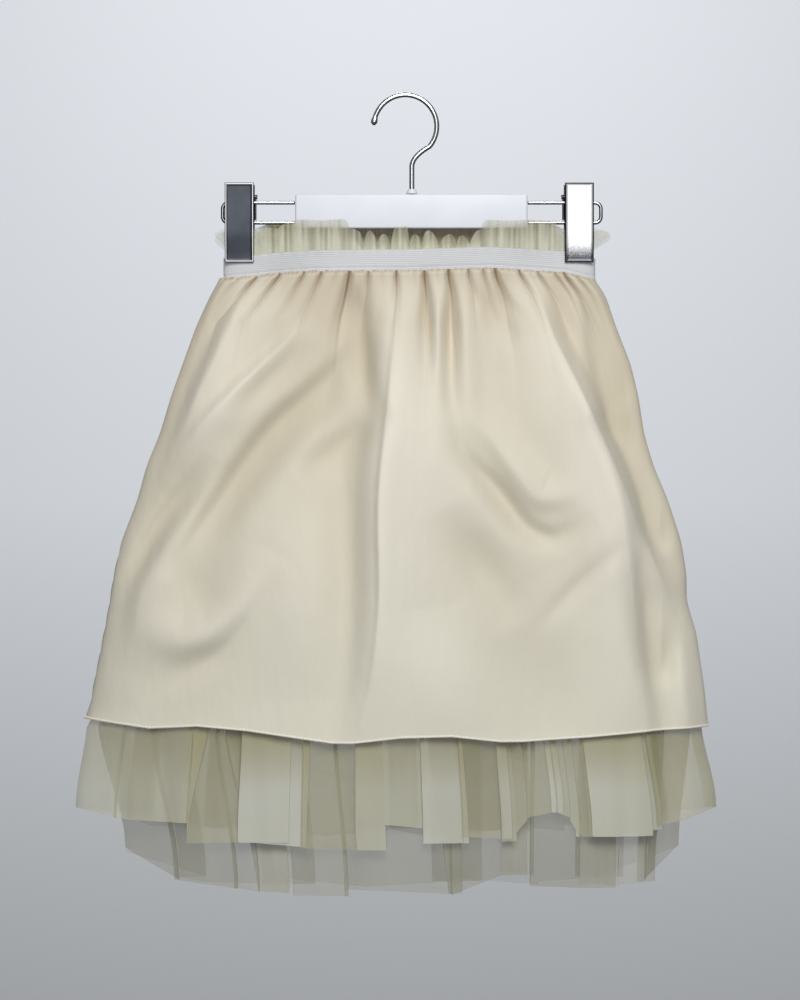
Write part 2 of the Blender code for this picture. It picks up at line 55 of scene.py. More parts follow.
# Elastic waistband and the depths of the skirt, as in the solids.
BAND_HEIGHT = 15.8
BAND_LEFT = -137.0
BAND_RIGHT = 143.0
BAND_WALL = 1.2
WAIST_DEPTH = 13.0
GRIP_DEPTH = 6.0
CLIP_SHARE = 0.84
SWELL_SHARE = 0.42
WAIST_END_POWER = 20
CREAM_TOP = -135.0
CREAM_LENGTH = 342.0
CREAM_HEM = -476.0
FRONT_DEPTH = 48.0
BACK_DEPTH = 26.0
DEPTH_POWER = 0.8
MOST_DROP = 1.15
LENS_POWER = 2.6
LENS_ROOT = 0.62
LENS_DROP = 0.35
FOLD_DROP = 0.1
FOLD_SIDE_FADE = 0.12
LEFT_SEAM_TURN = 0.05
SEAM_TURN_START = 0.6
# Front and back stay this far from the middle plane and close up over this last share of the half width.
LEAST_DEPTH = 0.7
SEAM_CLOSE = 0.01
# Heights and widths depend on each other, so they are worked out this many times over.
PASSES = 4

# Outline of the cream layer seen from the front: height, left edge, right edge.
OUTLINE = (
    (-100, -137, 143), (-134, -138, 140), (-148, -146, 150), (-172, -157, 158),
    (-200, -167, 169), (-225, -176, 175), (-252, -184, 179), (-276, -194, 186),
    (-302, -201, 197), (-333, -213, 207), (-358, -219, 211), (-378, -222, 211),
    (-400, -226, 218), (-440, -234, 224), (-458, -237, 226), (-472, -244, 227),
)
OUTLINE_SOFTNESS = 21
# Upper edge of the band: distance from the middle, height.
BAND_TOP = ((-137, -121), (-94, -117), (-66, -115.5), (3, -115), (63, -113), (119, -116), (143, -121.5))
# Cream hems: distance from the middle, height.
HEM_FRONT = (
    (-240, -465), (-190, -471), (-154, -469), (-117, -472), (-54, -481),
    (-39, -481), (-4, -477), (34, -476), (70, -480), (86, -480),
    (135, -477), (183, -473), (227, -471),
)
HEM_BACK = ((-240, -462), (-120, -470), (0, -472), (120, -471), (227, -469))

# Creases of the front: rise, width on the right of a downward run, width on its left, then its path as x, z.
FRONT_CREASES = (
    (9, 34, 9, (-108, -104), (-124, -160), (-150, -216), (-186, -296)),
    (6, 16, 6, (-66, -164), (-108, -205), (-143, -238), (-176, -280)),
    (-12, 22, 9, (-20, -178), (-72, -227), (-98, -250), (-117, -276), (-135, -302), (-180, -362)),
    (5, 18, 14, (-40, -226), (-84, -262), (-112, -300), (-140, -356)),
    (-4, 10, 9, (-70, -180), (-96, -206), (-134, -242)),
    (-5, 14, 12, (-8, -234), (-45, -261), (-80, -288)),
    (13, 46, 17, (-6, -90), (-8, -175), (-20, -302), (-18, -377), (-24, -437), (-44, -504)),
    (3.5, 14, 3, (-4, -110), (-8, -190), (-20, -302), (-18, -377), (-24, -437), (-40, -490)),
    (-5.5, 12, 20, (-26, -190), (-40, -290), (-40, -350), (-42, -420), (-54, -506)),
    (-8, 9, 10, (-41, -98), (-37, -175), (-31, -212), (-16, -256)),
    (-5, 5, 6, (15, -92), (17, -212)),
    (-5.5, 6, 6, (34, -92), (32, -244)),
    (4, 8, 8, (24, -98), (27, -240)),
    (4, 11, 8, (44, -104), (44, -200), (50, -280)),
    (-5, 7, 9, (30, -236), (44, -272), (67, -293), (88, -322), (108, -332), (140, -314)),
    (5, 15, 9, (46, -230), (76, -272), (98, -302), (136, -296)),
    (5, 14, 26, (16, -200), (34, -268), (54, -314), (96, -362)),
    (-5, 18, 18, (30, -306), (56, -350), (84, -396)),
    (-5, 6, 7, (67, -94), (73, -150), (90, -172)),
    (-4, 10, 10, (42, -128), (62, -158), (84, -190)),
    (12, 12, 44, (84, -90), (105, -171), (127, -216), (146, -257), (165, -302), (187, -355), (212, -410)),
    (3, 3, 12, (88, -110), (105, -171), (127, -216), (146, -257), (165, -302), (187, -355), (206, -398)),
    (-8, 26, 10, (100, -104), (122, -176), (148, -228), (168, -278), (188, -330), (214, -396)),
    (5, 8, 10, (117, -96), (133, -186), (149, -268)),
    (-5, 9, 14, (134, -240), (158, -248), (188, -236)),
    (-4, 9, 9, (171, -190), (156, -244)),
    (-6, 9, 9, (175, -276), (183, -325), (192, -333), (206, -294)),
    (7, 9, 34, (142, -244), (159, -310), (167, -360), (174, -437), (184, -510)),
    (-3.5, 20, 10, (164, -290), (176, -360), (184, -430), (196, -510)),
    (-4.5, 11, 12, (164, -320), (177, -400), (189, -432), (199, -414), (213, -356)),
    (6, 12, 12, (203, -386), (212, -440), (217, -510)),
    (7, 14, 17, (-100, -338), (-124, -385), (-139, -400), (-162, -408), (-206, -396)),
    (-4.5, 9, 15, (-94, -350), (-120, -392), (-139, -415), (-162, -430), (-200, -454)),
    (-2.2, 18, 18, (-186, -336), (-132, -392)),
    (-6.5, 13, 7, (-144, -268), (-184, -322), (-205, -352), (-232, -394)),
    (6, 22, 12, (-134, -280), (-172, -330), (-196, -372), (-208, -430)),
    (-2, 7, 7, (166, -330), (123, -370), (94, -402)),
    (5, 44, 44, (-84, -270), (-72, -450)),
    (-5, 30, 30, (60, -370), (96, -440), (120, -500)),
    (4, 34, 34, (20, -380), (40, -490)),
)
BACK_CREASES = (
    (3, 20, 10, (-96, -112), (-124, -200), (-168, -334)),
    (-4, 14, 14, (-38, -150), (-52, -260), (-60, -400), (-64, -490)),
    (4, 8, 24, (28, -112), (30, -240), (20, -380), (24, -494)),
    (-3, 9, 9, (58, -200), (96, -246), (112, -300)),
    (4, 20, 8, (88, -112), (112, -230), (136, -360), (152, -492)),
    (-4.5, 11, 11, (118, -250), (150, -340), (188, -474)),
    (-4, 12, 10, (-86, -220), (-118, -262), (-160, -318)),
    (-3, 10, 10, (-20, -300), (8, -352), (-2, -420)),
    (3, 10, 10, (-120, -350), (-152, -398), (-196, -412)),
    (-3.5, 12, 12, (-116, -368), (-146, -420), (-190, -446)),
    (-2.5, 6, 6, (150, -220), (176, -250)),
    (3, 12, 6, (186, -320), (204, -420), (208, -490)),
)

# All creases are this much stronger than their rows say.
CREASE_GAIN = 1.3
# A trough takes away at most this share of the depth.
TROUGH_SHARE = 0.5
# A trough this deep gets the fullest painted shade, and a ridge this high the fullest painted highlight.
HOLLOW_FULL = 12.0
# Rounding of the creases' paths, in steps along them, and how far from a path they still count.
CREASE_STEPS = 90
CREASE_SOFTNESS = 19
CREASE_REACH = 2.4
CREASE_TAPER = 1.3
SIDE_BLEND = 3.0

# Gathers under the band: distance from the middle at the band, length, depth, width of the pinch.
FRONT_GATHERS = (
    (-132, 10, 1.6, 1.2), (-122, 14, 2.2, 1.4), (-109, 30, 4.6, 2), (-98, 8, 1.4, 1.2),
    (-92, 32, 4.6, 2.2), (-74, 26, 4, 1.8), (-61, 28, 4.2, 2), (-50, 10, 1.8, 1.4),
    (-40, 52, 6, 2.6), (-26, 22, 3.8, 1.8), (-16, 8, 1.4, 1.2), (-5, 34, 4.6, 2),
    (8, 9, 1.4, 1.2), (16, 56, 5.2, 2.2), (25, 8, 1.4, 1.2), (34, 54, 5.4, 2.2),
    (44, 8, 1.2, 1.2), (49, 24, 4, 1.8), (60, 22, 3.6, 1.6), (69, 36, 5.4, 2.4),
    (87, 28, 4.4, 1.8), (95, 8, 1.4, 1.2), (101, 26, 3.6, 1.6), (114, 22, 3.4, 1.6),
    (121, 30, 4.6, 2), (130, 16, 3, 1.6), (138, 10, 1.6, 1.2),
)
# Sideways run of the gathers per unit down, at the band from left to right, and how far down it lasts.
GATHER_SLANT = ((-137, -0.5), (-90, -0.45), (-60, -0.2), (-30, 0), (60, 0), (90, 0.25), (143, 0.15))
GATHER_SLANT_LENGTH = 34.0
BACK_GATHER_COUNT = 33
BACK_GATHER_SEED = 5
BACK_GATHER_LENGTHS = (9, 12, 18, 26.4, 33.6)
BACK_GATHER_DRIFT = 0.35
GATHER_LIFT = 3.6
GATHER_FADE = 46.0
GATHER_SPREAD = 0.05
GATHER_LEAST = -1.0
# The pinched line itself gets painted shade, over this share of the gather's width and length; the seam
# under the band gets painted shade too.
PINCH_WIDTH = 0.5
PINCH_LENGTH = 0.85
PINCH_REACH = 60.0
PINCH_FULL = 3.7
SEAM_PINCH = 0.5
SEAM_PINCH_LENGTH = 0.9
# Stitches at the seam: turns of their wave for each millimetre, and of the slow wave that makes them uneven.
SEAM_STITCHES = (0.9, 0.37)
GATHER_SIDE_FADE = 0.04
# The cream cloth starts this far up behind the band and puffs out over the next length.
UNDER_BAND = 1.4
PUFF_LENGTH = 4.0
PUFF_INSET = 1.2

CREAM_COLUMNS = 430
CREAM_ROWS = 200
BACK_COLUMNS = 300
BACK_ROWS = 130
# Rows lie closer together near the band, by this power.
CREAM_CROWDING = 1.15

# Rolled hem of the cream layer.
HEM_BEAD = 0.9
HEM_STITCH = 2.4
# The folded tip at the left end of the hem gets a brown painted shade.
HEM_TIP = (-244.0, -463.0)
HEM_TIP_SIZE = 7.0
HEM_TIP_SHADE = 0.55
HEM_STITCH_RISE = 0.16

# Tulle: inset inside the cream at the band and at its hem, and the same at the sides.
SHORT_INSET = (2.4, 7.0)
LONG_INSET = (4.2, 15.0)
SHORT_SIDE_INSET = (5.6, 5.6)
LONG_SIDE_INSET = (10.0, 13.0)
BACK_SHARE = 0.5
BACK_RISE_SHARE = 0.7
FLARE_TOP = -462.0
SIDE_INSET_DROP = 0.2
INSET_DROP = 0.5
PLEAT_RISE = (0.1, 3.0)
PLEAT_SIDE_FADE = 0.18
RUFFLE_TUCK = 4.0
TULLE_STEP = 3.0
# Rows over the upper share of a tier, which is hidden, and over the rest.
TULLE_ROWS = (26, 34)
TULLE_UPPER = 0.76
FOLD_TURN = 0.3
NET_PITCH = 0.0011
NET_CONTRAST = 0.35
# The tiers waver from this share of their length down, in waves of these lengths that slant a little.
TULLE_WAVER = 0.35
WAVER_START = 0.6
WAVER_LENGTHS = (17.0, 31.0, 58.0)
WAVER_SLANT = 90.0
TULLE_LEAST_DEPTH = 0.6
# How high the cloth folded under a pleat lies, as a share of the pleat's rise, and where its own hem steps.
UNDER_LIFT = 0.5
UNDER_STEP = 1.5
# How dense the cloth folded under a narrow pleat looks; under one this wide it is as dense as the pleat.
FOLD_DENSE = 0.9
WIDE_FOLD = 20.0
# Just below the cream hem the net is sheerer and painted in shade; the paler net grows denser down from
# there.
PALE_AT_HEM = 0.65
PALE_LENGTH = 42.0
# Olive of the painted shade just below the cream hem.
HEM_SHADE_OLIVE = (0.44, 0.39, 0.17)
# Tulle pleats at the hem: left edge, right edge, height at each, the edge on top, the cloth folded under
# at the hem and higher up, and how dense the doubled net looks from 0 to 1.
# The density of a pleat also sets its painted shade: sparse net is painted darker, dense net pale.
SHORT_FRONT = (
    (-247, -215, -532, -538, 1, 2, 2, 0.62),
    (-215, -162, -539, -541, 1, 5, 5, 0.62),
    (-162, -124, -556, -555, -1, 1, 14, 0.22),
    (-124, -77, -554, -558, -1, 38, 38, 0.95),
    (-77, -37, -559, -560, -1, 4, 6, 0.05),
    (-37, 13, -539, -544, -1, 23, 20, 0.62),
    (13, 42, -555, -555, -1, 3, 3, 0.90),
    (42, 71, -550, -552, -1, 5, 3, 0.16),
    (71, 82, -554, -554, -1, 8, 8, 0.55),
    (82, 90, -548, -538, 1, 1, 1, 0.45),
    (90, 108, -537, -533, 1, 1, 1, 0.30),
    (112, 122, -533, -537, -1, 5, 5, 0.50),
    (122, 129, -539, -551, 1, 3, 3, 0.60),
    (129, 138, -551, -551, 1, 2, 2, 0.40),
    (138, 187, -550, -547, -1, 46, 46, 0.95),
    (187, 213, -544, -539, -1, 4, 4, 0.30),
    (213, 233, -538, -532, 1, 10, 10, 0.36),
)
SHORT_BACK = (
    (-247, -190, -533, -540, 1, 20, 20, 0.4),
    (-190, -128, -548, -550, 1, 24, 24, 0.3),
    (-128, -60, -553, -556, -1, 30, 30, 0.6),
    (-60, 10, -556, -550, 1, 22, 22, 0.3),
    (10, 72, -556, -552, 1, 26, 26, 0.5),
    (72, 120, -548, -552, -1, 24, 24, 0.3),
    (120, 180, -548, -544, 1, 28, 28, 0.5),
    (180, 233, -540, -532, -1, 18, 18, 0.4),
)
LONG_FRONT = (
    (-210, -168, -562, -584, 1, 4, 4, 0.12),
    (-168, -124, -585, -590, 1, 3, 3, 0.12),
    (-124, -108, -590, -592, 1, 1, 14, 0.30),
    (-108, -83, -592, -594, -1, 22, 22, 0.60),
    (-83, -42, -595, -595, 1, 3, 3, 0.28),
    (-42, 34, -590, -593, 1, 2, 16, 0.14),
    (34, 71, -594, -580, -1, 8, 8, 0.10),
    (71, 92, -577, -580, -1, 19, 19, 0.50),
    (92, 129, -588, -590, -1, 3, 3, 0.05),
    (129, 158, -586, -589, -1, 27, 24, 0.50),
    (158, 178, -588, -586, 1, 6, 6, 0.45),
    (178, 205, -584, -560, -1, 8, 8, 0.08),
)
LONG_BACK = (
    (-210, -150, -566, -586, 1, 20, 20, 0.2),
    (-150, -90, -590, -592, 1, 18, 18, 0.1),
    (-90, -30, -588, -594, -1, 22, 22, 0.2),
    (-30, 40, -594, -590, 1, 20, 20, 0.1),
    (40, 100, -588, -592, -1, 18, 18, 0.2),
    (100, 150, -590, -586, 1, 22, 22, 0.1),
    (150, 205, -584, -562, -1, 14, 14, 0.2),
)

# Tips of the heading ruffle: distance from the middle, height, lean towards the outside.
RUFFLE_FRONT = (
    (-143, -107, 0.5), (-139, -102, 1), (-134, -101, 0), (-114, -99, 0.6), (-110, -102, 1.4),
    (-104, -98, 0.4), (-95, -99, 1.6), (-88, -95, 0.6), (-79, -92.5, 1.2), (-62, -93.5, 0.5),
    (-46, -92.5, 1.6), (-42, -99, 0.8), (-36, -101, 3.2), (-31, -111, 0.4), (-27, -101, 2.2),
    (-21, -111, 0.6), (-16, -103.5, 3), (-11, -112, 0.4), (-7, -99, 1.8), (1, -98, 3.4),
    (3, -112, 0.6), (7, -103.5, 2.4), (12, -111, 0.4), (17, -101, 3), (25, -112, 0.5),
    (34, -103.5, 2.6), (38, -112, 0.8), (42, -104.5, 2.8), (48, -111, 0.6), (56, -100.5, 2.2),
    (61, -93, 1.2), (78, -93.5, 0.6), (96, -92.5, 1.6), (109, -94, 0.8), (116, -99, 1.2),
    (121, -102, 0), (138, -101, 0), (146, -100, 1.4), (154, -105, 0.6),
)
RUFFLE_BACK = (
    (-143, -105, 0.5), (-134, -101, 0), (-112, -101, 0), (-92, -97, 1.6), (-80, -100, 0.4),
    (-66, -97, 2.2), (-50, -101, 0.6), (-36, -97.5, 2.6), (-20, -100, 0.6), (-4, -96.5, 2),
    (14, -100, 0.5), (30, -98, 2.6), (48, -101, 0.6), (64, -97, 2), (84, -99.5, 0.6),
    (100, -97.5, 1.8), (118, -101, 0), (142, -101, 0), (154, -105, 0.5),
)
BACK_TIP_LIFT = 3.0
RUFFLE_SIDE_INSET = 3.6
RUFFLE_BASE_INSET = 2.4
RUFFLE_SIDE_FADE = 0.03
RUFFLE_COLUMNS = 520
RUFFLE_ROWS = 26
# Fine gathers of the ruffle: how many, and how far they stand out at the tips.
RUFFLE_WAVES = ((22, 1.2), (61, 0.4))
RUFFLE_FLARE_START = 0.8
RUFFLE_TUFT_START = 0.35
# The fine gathers grow by this power and are uneven by this much, so often across.
RUFFLE_GROWTH = 0.6
RUFFLE_UNEVEN = (0.8, 7)
# How dense the net looks at its foot and its tips, and how much its streaks differ.
RUFFLE_DENSE = (0.85, 0.35)
STREAK_WIDTH = 1.9
STREAK_SHADE = 0.3
# Towards its ends it grows thin: start and length as shares of the half width, and how much.
RUFFLE_END = (0.9, 0.08, 0.9)
BACK_RUFFLE_END = (0.7, 0.2, 1.0)
PETAL_POWER = 2.4
GRIP_MARGIN = 1.0
GRIP_FADE = 5.0

# Ribs of the elastic band.
RIB_COUNT = 11
RIB_RISE = 0.08
BAND_COLUMNS = 460
BAND_ROWS = 56
BAND_PUCKER = 0.25
BAND_PUCKER_LENGTH = 9.0
# A line of stitches: its height above the lower edge, how far it is sunk and its half width.
BAND_STITCH = (2.6, 0.4, 0.5)
# The lower edge wavers from this share of the height down: height, pitch and start of each wave.
BAND_WAVER_START = 0.9
BAND_WAVER = ((0.25, 6.5, 0), (0.2, 2.9, 1))

# Hook.
HOOK_WIRE = 3.8
HOOK_RADIUS = 23.6
HOOK_TIP_ANGLE = 178.0
HOOK_LEAVE_ANGLE = -40.0
STEM_X = 4.9
STEM_BEND_Z = -52.0
HOOK_STEPS = 96
# The tip swells to a small ball, whose outermost rings are this much narrower.
TIP_BALL_LENGTH = 6.0
TIP_BALL_RISE = 0.3
TIP_ROUNDING = (0.45, 0.8)
# A wire has one more ring near each end, this share of the first step away, which keeps its cap crisp.
RING_BY_END = 0.1
# Collar at the foot of the stem, from the bar up: height, radius.
FERRULE = ((0.0, 4.0), (0.4, 4.2), (1.4, 3.9), (3.0, 3.2), (3.5, 2.8))
GAP = 0.3

# Bar.
BAR_LEFT = -82.5
BAR_RIGHT = 91.5
BAR_TOP = -72.8
BAR_BOTTOM = -98.6
BAR_THICKNESS = 7.0
BAR_CORNER = 1.5

# Wire rails and clips.
RAIL_WIRE = 2.8
RAIL_TOP = -79.1
RAIL_BOTTOM = -94.1
RAIL_LEFT = -137.0
RAIL_RIGHT = 146.7
RAIL_CORNER = 4.5
CLIPS = (("left", -135.0, -113.3), ("right", 119.3, 140.9))
CLIP_TOP = -64.8
CLIP_BOTTOM = -124.2
CLIP_PLATE = 1.4
CLIP_FACE = 8.4
CLIP_KNEE = -104.0
CLIP_BORDER = 1.15
CLIP_SUNK = 0.35
CLIP_SINK_WIDTH = 0.5
CLIP_ROUND_DEPTH = 0.5
CLIP_ROUND_WIDTH = 0.9
# Steps across the plate's edge: its dark outer line of painted shade, the bright border and the sunk face.
RIM_STEPS = (0.0, 0.5, 0.8, 1.15, 1.6)
PIN_HEIGHT = -74.8
PIN_RADIUS = 1.7
PIN_IN = 6.0
PIN_OUT = 2.4
SPRING_OUT = 0.8
SPRING_MIDDLE = -84.0
SPRING_BOTTOM = -92.0
SPRING_RADIUS = 0.9
JAW_HEIGHT = 4.0
BRACKET_TOP = -74.0
BRACKET_BOTTOM = -97.2
BRACKET_MARGIN = 2.5
BRACKET_CORNER = 1.0

# Camera: level, in front of the middle of the photo's field.
CAMERA_X = -4.0
CAMERA_Z = -302.0
CAMERA_AWAY = 2500.0
FIELD_HEIGHT = 750.0


def smooth(value):
    """0 to 1 with soft ends."""
    value = np.clip(value, 0.0, 1.0)
    return value * value * (3 - 2 * value)


def between(first, second, share):
    return first + (second - first) * share


def read(table, x, column=1):
    """A column of a table read at x, straight between the rows."""
    rows = np.array(sorted(table), float)
    return np.interp(x, rows[:, 0], rows[:, column])


def neighbours(table, x, column):
    """The values of the rows before and after x, and how far it is from one to the other."""
    rows = np.array(sorted(table), float)
    low = np.clip(np.searchsorted(rows[:, 0], x) - 1, 0, len(rows) - 2)
    share = (x - rows[low, 0]) / (rows[low + 1, 0] - rows[low, 0])
    return rows[low, column], rows[low + 1, column], share


def read_soft(table, x, column=1):
    """A column of a table read at x with a soft curve between the rows."""
    first, second, share = neighbours(table, x, column)
    return between(first, second, smooth(share))


def read_round(table, x):
    """Heights at x: the high rows are rounded petals and the low rows narrow notches."""
    first, second, share = neighbours(table, x, 1)
    climb = np.clip(np.where(second > first, share, 1 - share), 0, 1)
    rounded = 1 - (1 - climb) ** PETAL_POWER
    return between(np.minimum(first, second), np.maximum(first, second), rounded)


def distances(points):
    """How far along a line each of its points lies."""
    return np.concatenate([[0], np.cumsum(np.linalg.norm(np.diff(points, axis=0), axis=1))])


def after(start, share):
    """0 up to the start and 1 at 1, with soft ends."""
    return smooth((share - start) / (1 - start))


def from_sides(s, fade):
    """0 at the side edges of a layer and 1 from this share of its half width inwards."""
    return smooth((1 - np.abs(s)) / fade)


def soften(line, window):
    """A line of values with its corners rounded over a number of steps; its ends keep their direction."""
    weights = np.hanning(window + 2)[1:-1]
    padded = np.pad(line, window // 2, mode="reflect", reflect_type="odd")
    return np.convolve(padded, weights / weights.sum(), mode="valid")


def sides(z):
    """Left and right edge of the cream layer at a height, its corners rounded."""
    heights = np.arange(OUTLINE[-1][0], OUTLINE[0][0] + 1.0)
    left, right = [soften(read(OUTLINE, heights, column), OUTLINE_SOFTNESS) for column in (1, 2)]
    return np.interp(z, heights, left), np.interp(z, heights, right)


def drop_at(z):
    """0 at the band and 1 at the cream hem."""
    return np.clip((CREAM_TOP - z) / CREAM_LENGTH, 0.0, MOST_DROP)


def waist_depth(s, inset=0.0):
    """Distance from the middle plane at the band: pinched flat where the clips grip it."""
    edge = np.sqrt(np.clip(1 - np.abs(s) ** WAIST_END_POWER, 0, 1))
    swell = smooth((CLIP_SHARE - np.abs(s)) / SWELL_SHARE)
    return (GRIP_DEPTH - inset) * edge + (WAIST_DEPTH - GRIP_DEPTH) * swell


def crease_rise(crease, x, z):
    """One crease: a soft ridge or trough along its rounded path, with its own width to either side."""
    rise, right_width, left_width, *path = crease
    corners = np.array(path, float)
    length = distances(corners)
    places = np.linspace(0, length[-1], CREASE_STEPS)
    lines = [np.interp(places, length, corners[:, axis]) for axis in (0, 1)]
    path_x, path_z = [soften(line, CREASE_SOFTNESS) for line in lines]
    run_x, run_z = np.gradient(path_x), np.gradient(path_z)
    reach = CREASE_REACH * max(right_width, left_width)
    near = (x > path_x.min() - reach) & (x < path_x.max() + reach)
    near &= (z > path_z.min() - reach) & (z < path_z.max() + reach)
    away_x, away_z = x[near][:, None] - path_x, z[near][:, None] - path_z
    distance = np.hypot(away_x, away_z)
    step = distance.argmin(axis=1)
    row = np.arange(len(step))
    away_x, away_z, run_x, run_z = away_x[row, step], away_z[row, step], run_x[step], run_z[step]
    run = np.hypot(run_x, run_z)
    beyond = np.clip((away_x * run_x + away_z * run_z) / run**2, -0.5, 0.5)
    side = (run_x * away_z - run_z * away_x) / run
    width = between(left_width, right_width, smooth(side / SIDE_BLEND + 0.5))
    gap = np.hypot(away_x - beyond * run_x, away_z - beyond * run_z)
    along = np.clip((step + beyond) / (CREASE_STEPS - 1), 0, 1)
    made = np.zeros(x.shape)
    made[near] = rise * np.exp(-((gap / width) ** 2)) * np.sin(math.pi * along) ** CREASE_TAPER
    return made


def fold_rise(x, z, is_front):
    """All the creases of one side together."""
    return sum(crease_rise(crease, x, z) for crease in (FRONT_CREASES if is_front else BACK_CREASES))


def layer_depth(s, z, x, is_front, inset=0.0):
    """Distance of a cloth layer from the middle plane: the cream layer, or one that lies inset in it."""
    drop = drop_at(z)
    deepest = between(WAIST_DEPTH, FRONT_DEPTH if is_front else BACK_DEPTH, drop**DEPTH_POWER)
    lens = (deepest - inset) * np.clip(1 - np.abs(s) ** LENS_POWER, 0, 1) ** LENS_ROOT
    plain = between(waist_depth(s, inset), lens, smooth(drop / LENS_DROP))
    fade = from_sides(s, FOLD_SIDE_FADE) * smooth(drop / FOLD_DROP)
    folds = CREASE_GAIN * fold_rise(x, z, is_front) * fade
    deepest_trough = TROUGH_SHARE * np.maximum(plain, 1.0)
    return plain + np.where(folds < 0, deepest_trough * np.tanh(folds / deepest_trough), folds)


def back_gathers():
    """Gathers of the back, unevenly spaced like those of the front; the long ones are deeper and wider."""
    random = np.random.default_rng(BACK_GATHER_SEED)
    step = (BAND_RIGHT - BAND_LEFT) / BACK_GATHER_COUNT
    places = BAND_LEFT + step * (np.arange(BACK_GATHER_COUNT) + 0.5)
    places += random.uniform(-BACK_GATHER_DRIFT, BACK_GATHER_DRIFT, BACK_GATHER_COUNT) * step
    lengths = random.choice(BACK_GATHER_LENGTHS, BACK_GATHER_COUNT)
    return [(x, length, 1.5 + length / 10, 1.2 + length / 30) for x, length in zip(places, lengths)]


def gather_rise(s, z, top, gathers):
    """Puffs between pinched lines that fade down the cloth, and the painted shade along each pinched line
    and the seam.
    """
    left, right = sides(z)
    band_x = between(BAND_LEFT, BAND_RIGHT, (s + 1) / 2)
    stretch = (right - left) / (BAND_RIGHT - BAND_LEFT)
    below = np.clip(top - z, 0, None)
    rise = GATHER_LIFT * np.exp(-below / GATHER_FADE)
    stitches = np.abs(np.sin(band_x * SEAM_STITCHES[0] + np.sin(band_x * SEAM_STITCHES[1])))
    # Painted shade along the seam under the band, broken up like stitches.
    pinch_shade = SEAM_PINCH * np.exp(-below / SEAM_PINCH_LENGTH) * stitches
    for x, length, depth, width in gathers:
        run = read(GATHER_SLANT, x) * np.minimum(below, GATHER_SLANT_LENGTH)
        away = (band_x - x) * stretch - run
        spread = width + GATHER_SPREAD * below
        rise = rise - depth * np.exp(-((away / spread) ** 2) - below / length)
        narrow = (away / (PINCH_WIDTH * width)) ** 2
        line = np.exp(-narrow - below / (PINCH_LENGTH * length) - below / PINCH_REACH)
        pinch_shade = np.maximum(pinch_shade, line * depth / PINCH_FULL)
    side_fade = from_sides(s, GATHER_SIDE_FADE)
    return np.maximum(rise, GATHER_LEAST) * side_fade, np.clip(pinch_shade, 0, 1) * side_fade


def cream_points(columns, rows, is_front):
    """Points of a cream panel from the band to the hem, and how much painted shade each gets where pinched
    or sunk and painted highlight where raised.
    """
    down = np.linspace(0, 1, rows) ** CREAM_CROWDING
    share, s = np.meshgrid(down, np.linspace(-1, 1, columns), indexing="ij")
    turn = LEFT_SEAM_TURN * np.clip((share - SEAM_TURN_START) / (1 - SEAM_TURN_START), 0, None)
    s = between(-1 + turn if is_front else -1 - turn, 1, (s + 1) / 2)
    on_back = np.full(s.shape, not is_front) & (s >= -1)
    s = np.where(s < -1, -2 - s, s)
    hem_table = HEM_FRONT if is_front else HEM_BACK
    z = between(CREAM_TOP, CREAM_HEM, share)
    for _ in range(PASSES):
        x = between(*sides(z), (s + 1) / 2)
        band_bottom = read(BAND_TOP, x) - BAND_HEIGHT
        hem = np.where(on_back | is_front, read(hem_table, x), read(HEM_FRONT, x))
        z = between(band_bottom + UNDER_BAND, hem, share)
    depth = np.where(on_back, layer_depth(s, z, x, False), layer_depth(s, z, x, True))
    gathers = FRONT_GATHERS if is_front else back_gathers()
    puff = smooth((band_bottom + UNDER_BAND - z) / PUFF_LENGTH)
    rise, pinch_shade = gather_rise(s, z, band_bottom, gathers)
    depth += rise * puff - PUFF_INSET * (1 - puff)
    depth = np.maximum(depth, LEAST_DEPTH * from_sides(s, SEAM_CLOSE))
    folds = fold_rise(x, z, is_front)
    # Painted shade on the folded tip at the left end of the hem.
    tip = np.exp(-((x - HEM_TIP[0]) ** 2 + (z - HEM_TIP[1]) ** 2) / HEM_TIP_SIZE**2)
    pinch_shade = np.maximum(pinch_shade, HEM_TIP_SHADE * tip)
    # Painted shade in the troughs and painted highlight on the ridges of the creases.
    shares = {"pinch_shade": pinch_shade, "painted_hollow_shade": -folds / HOLLOW_FULL, "painted_crest_highlight": folds / HOLLOW_FULL}
    return np.stack([x, np.where(on_back, depth, -depth), z], axis=-1), shares


def pleat_columns(table):
    """Columns of a pleated tier: place at the hem, shift higher up, lift, hem height and density."""
    route = []
    before_z = table[0][2]
    for left, right, left_z, right_z, top_edge, under, high_under, dense in table:
        shift = high_under - under
        folded = between(FOLD_DENSE, dense, smooth(under / WIDE_FOLD))
        if top_edge > 0:
            route.append((left, 0, 0.0, left_z, dense))
            route.append((right, 0, 1.0, right_z, dense))
            route.append((right - under, -shift, UNDER_LIFT, right_z, folded))
        else:
            route.append((left + under, shift, UNDER_LIFT, before_z, folded))
            route.append((left + UNDER_STEP, 0, 0.9, before_z, folded))
            route.append((left, 0, 1.0, left_z, dense))
            route.append((right, 0, 0.0, right_z, dense))
        before_z = right_z
    columns = [route[0]]
    for start, end in zip(route, route[1:]):
        run = abs(end[0] - start[0])
        steps = np.arange(1, max(1, round(run / TULLE_STEP))) / max(1, round(run / TULLE_STEP))
        turn = min(FOLD_TURN / max(run, FOLD_TURN), 0.2)
        for share in sorted({turn, *steps, 1 - turn, 1.0}):
            columns.append(tuple(between(a, b, share) for a, b in zip(start, end)))
    return np.array(columns)


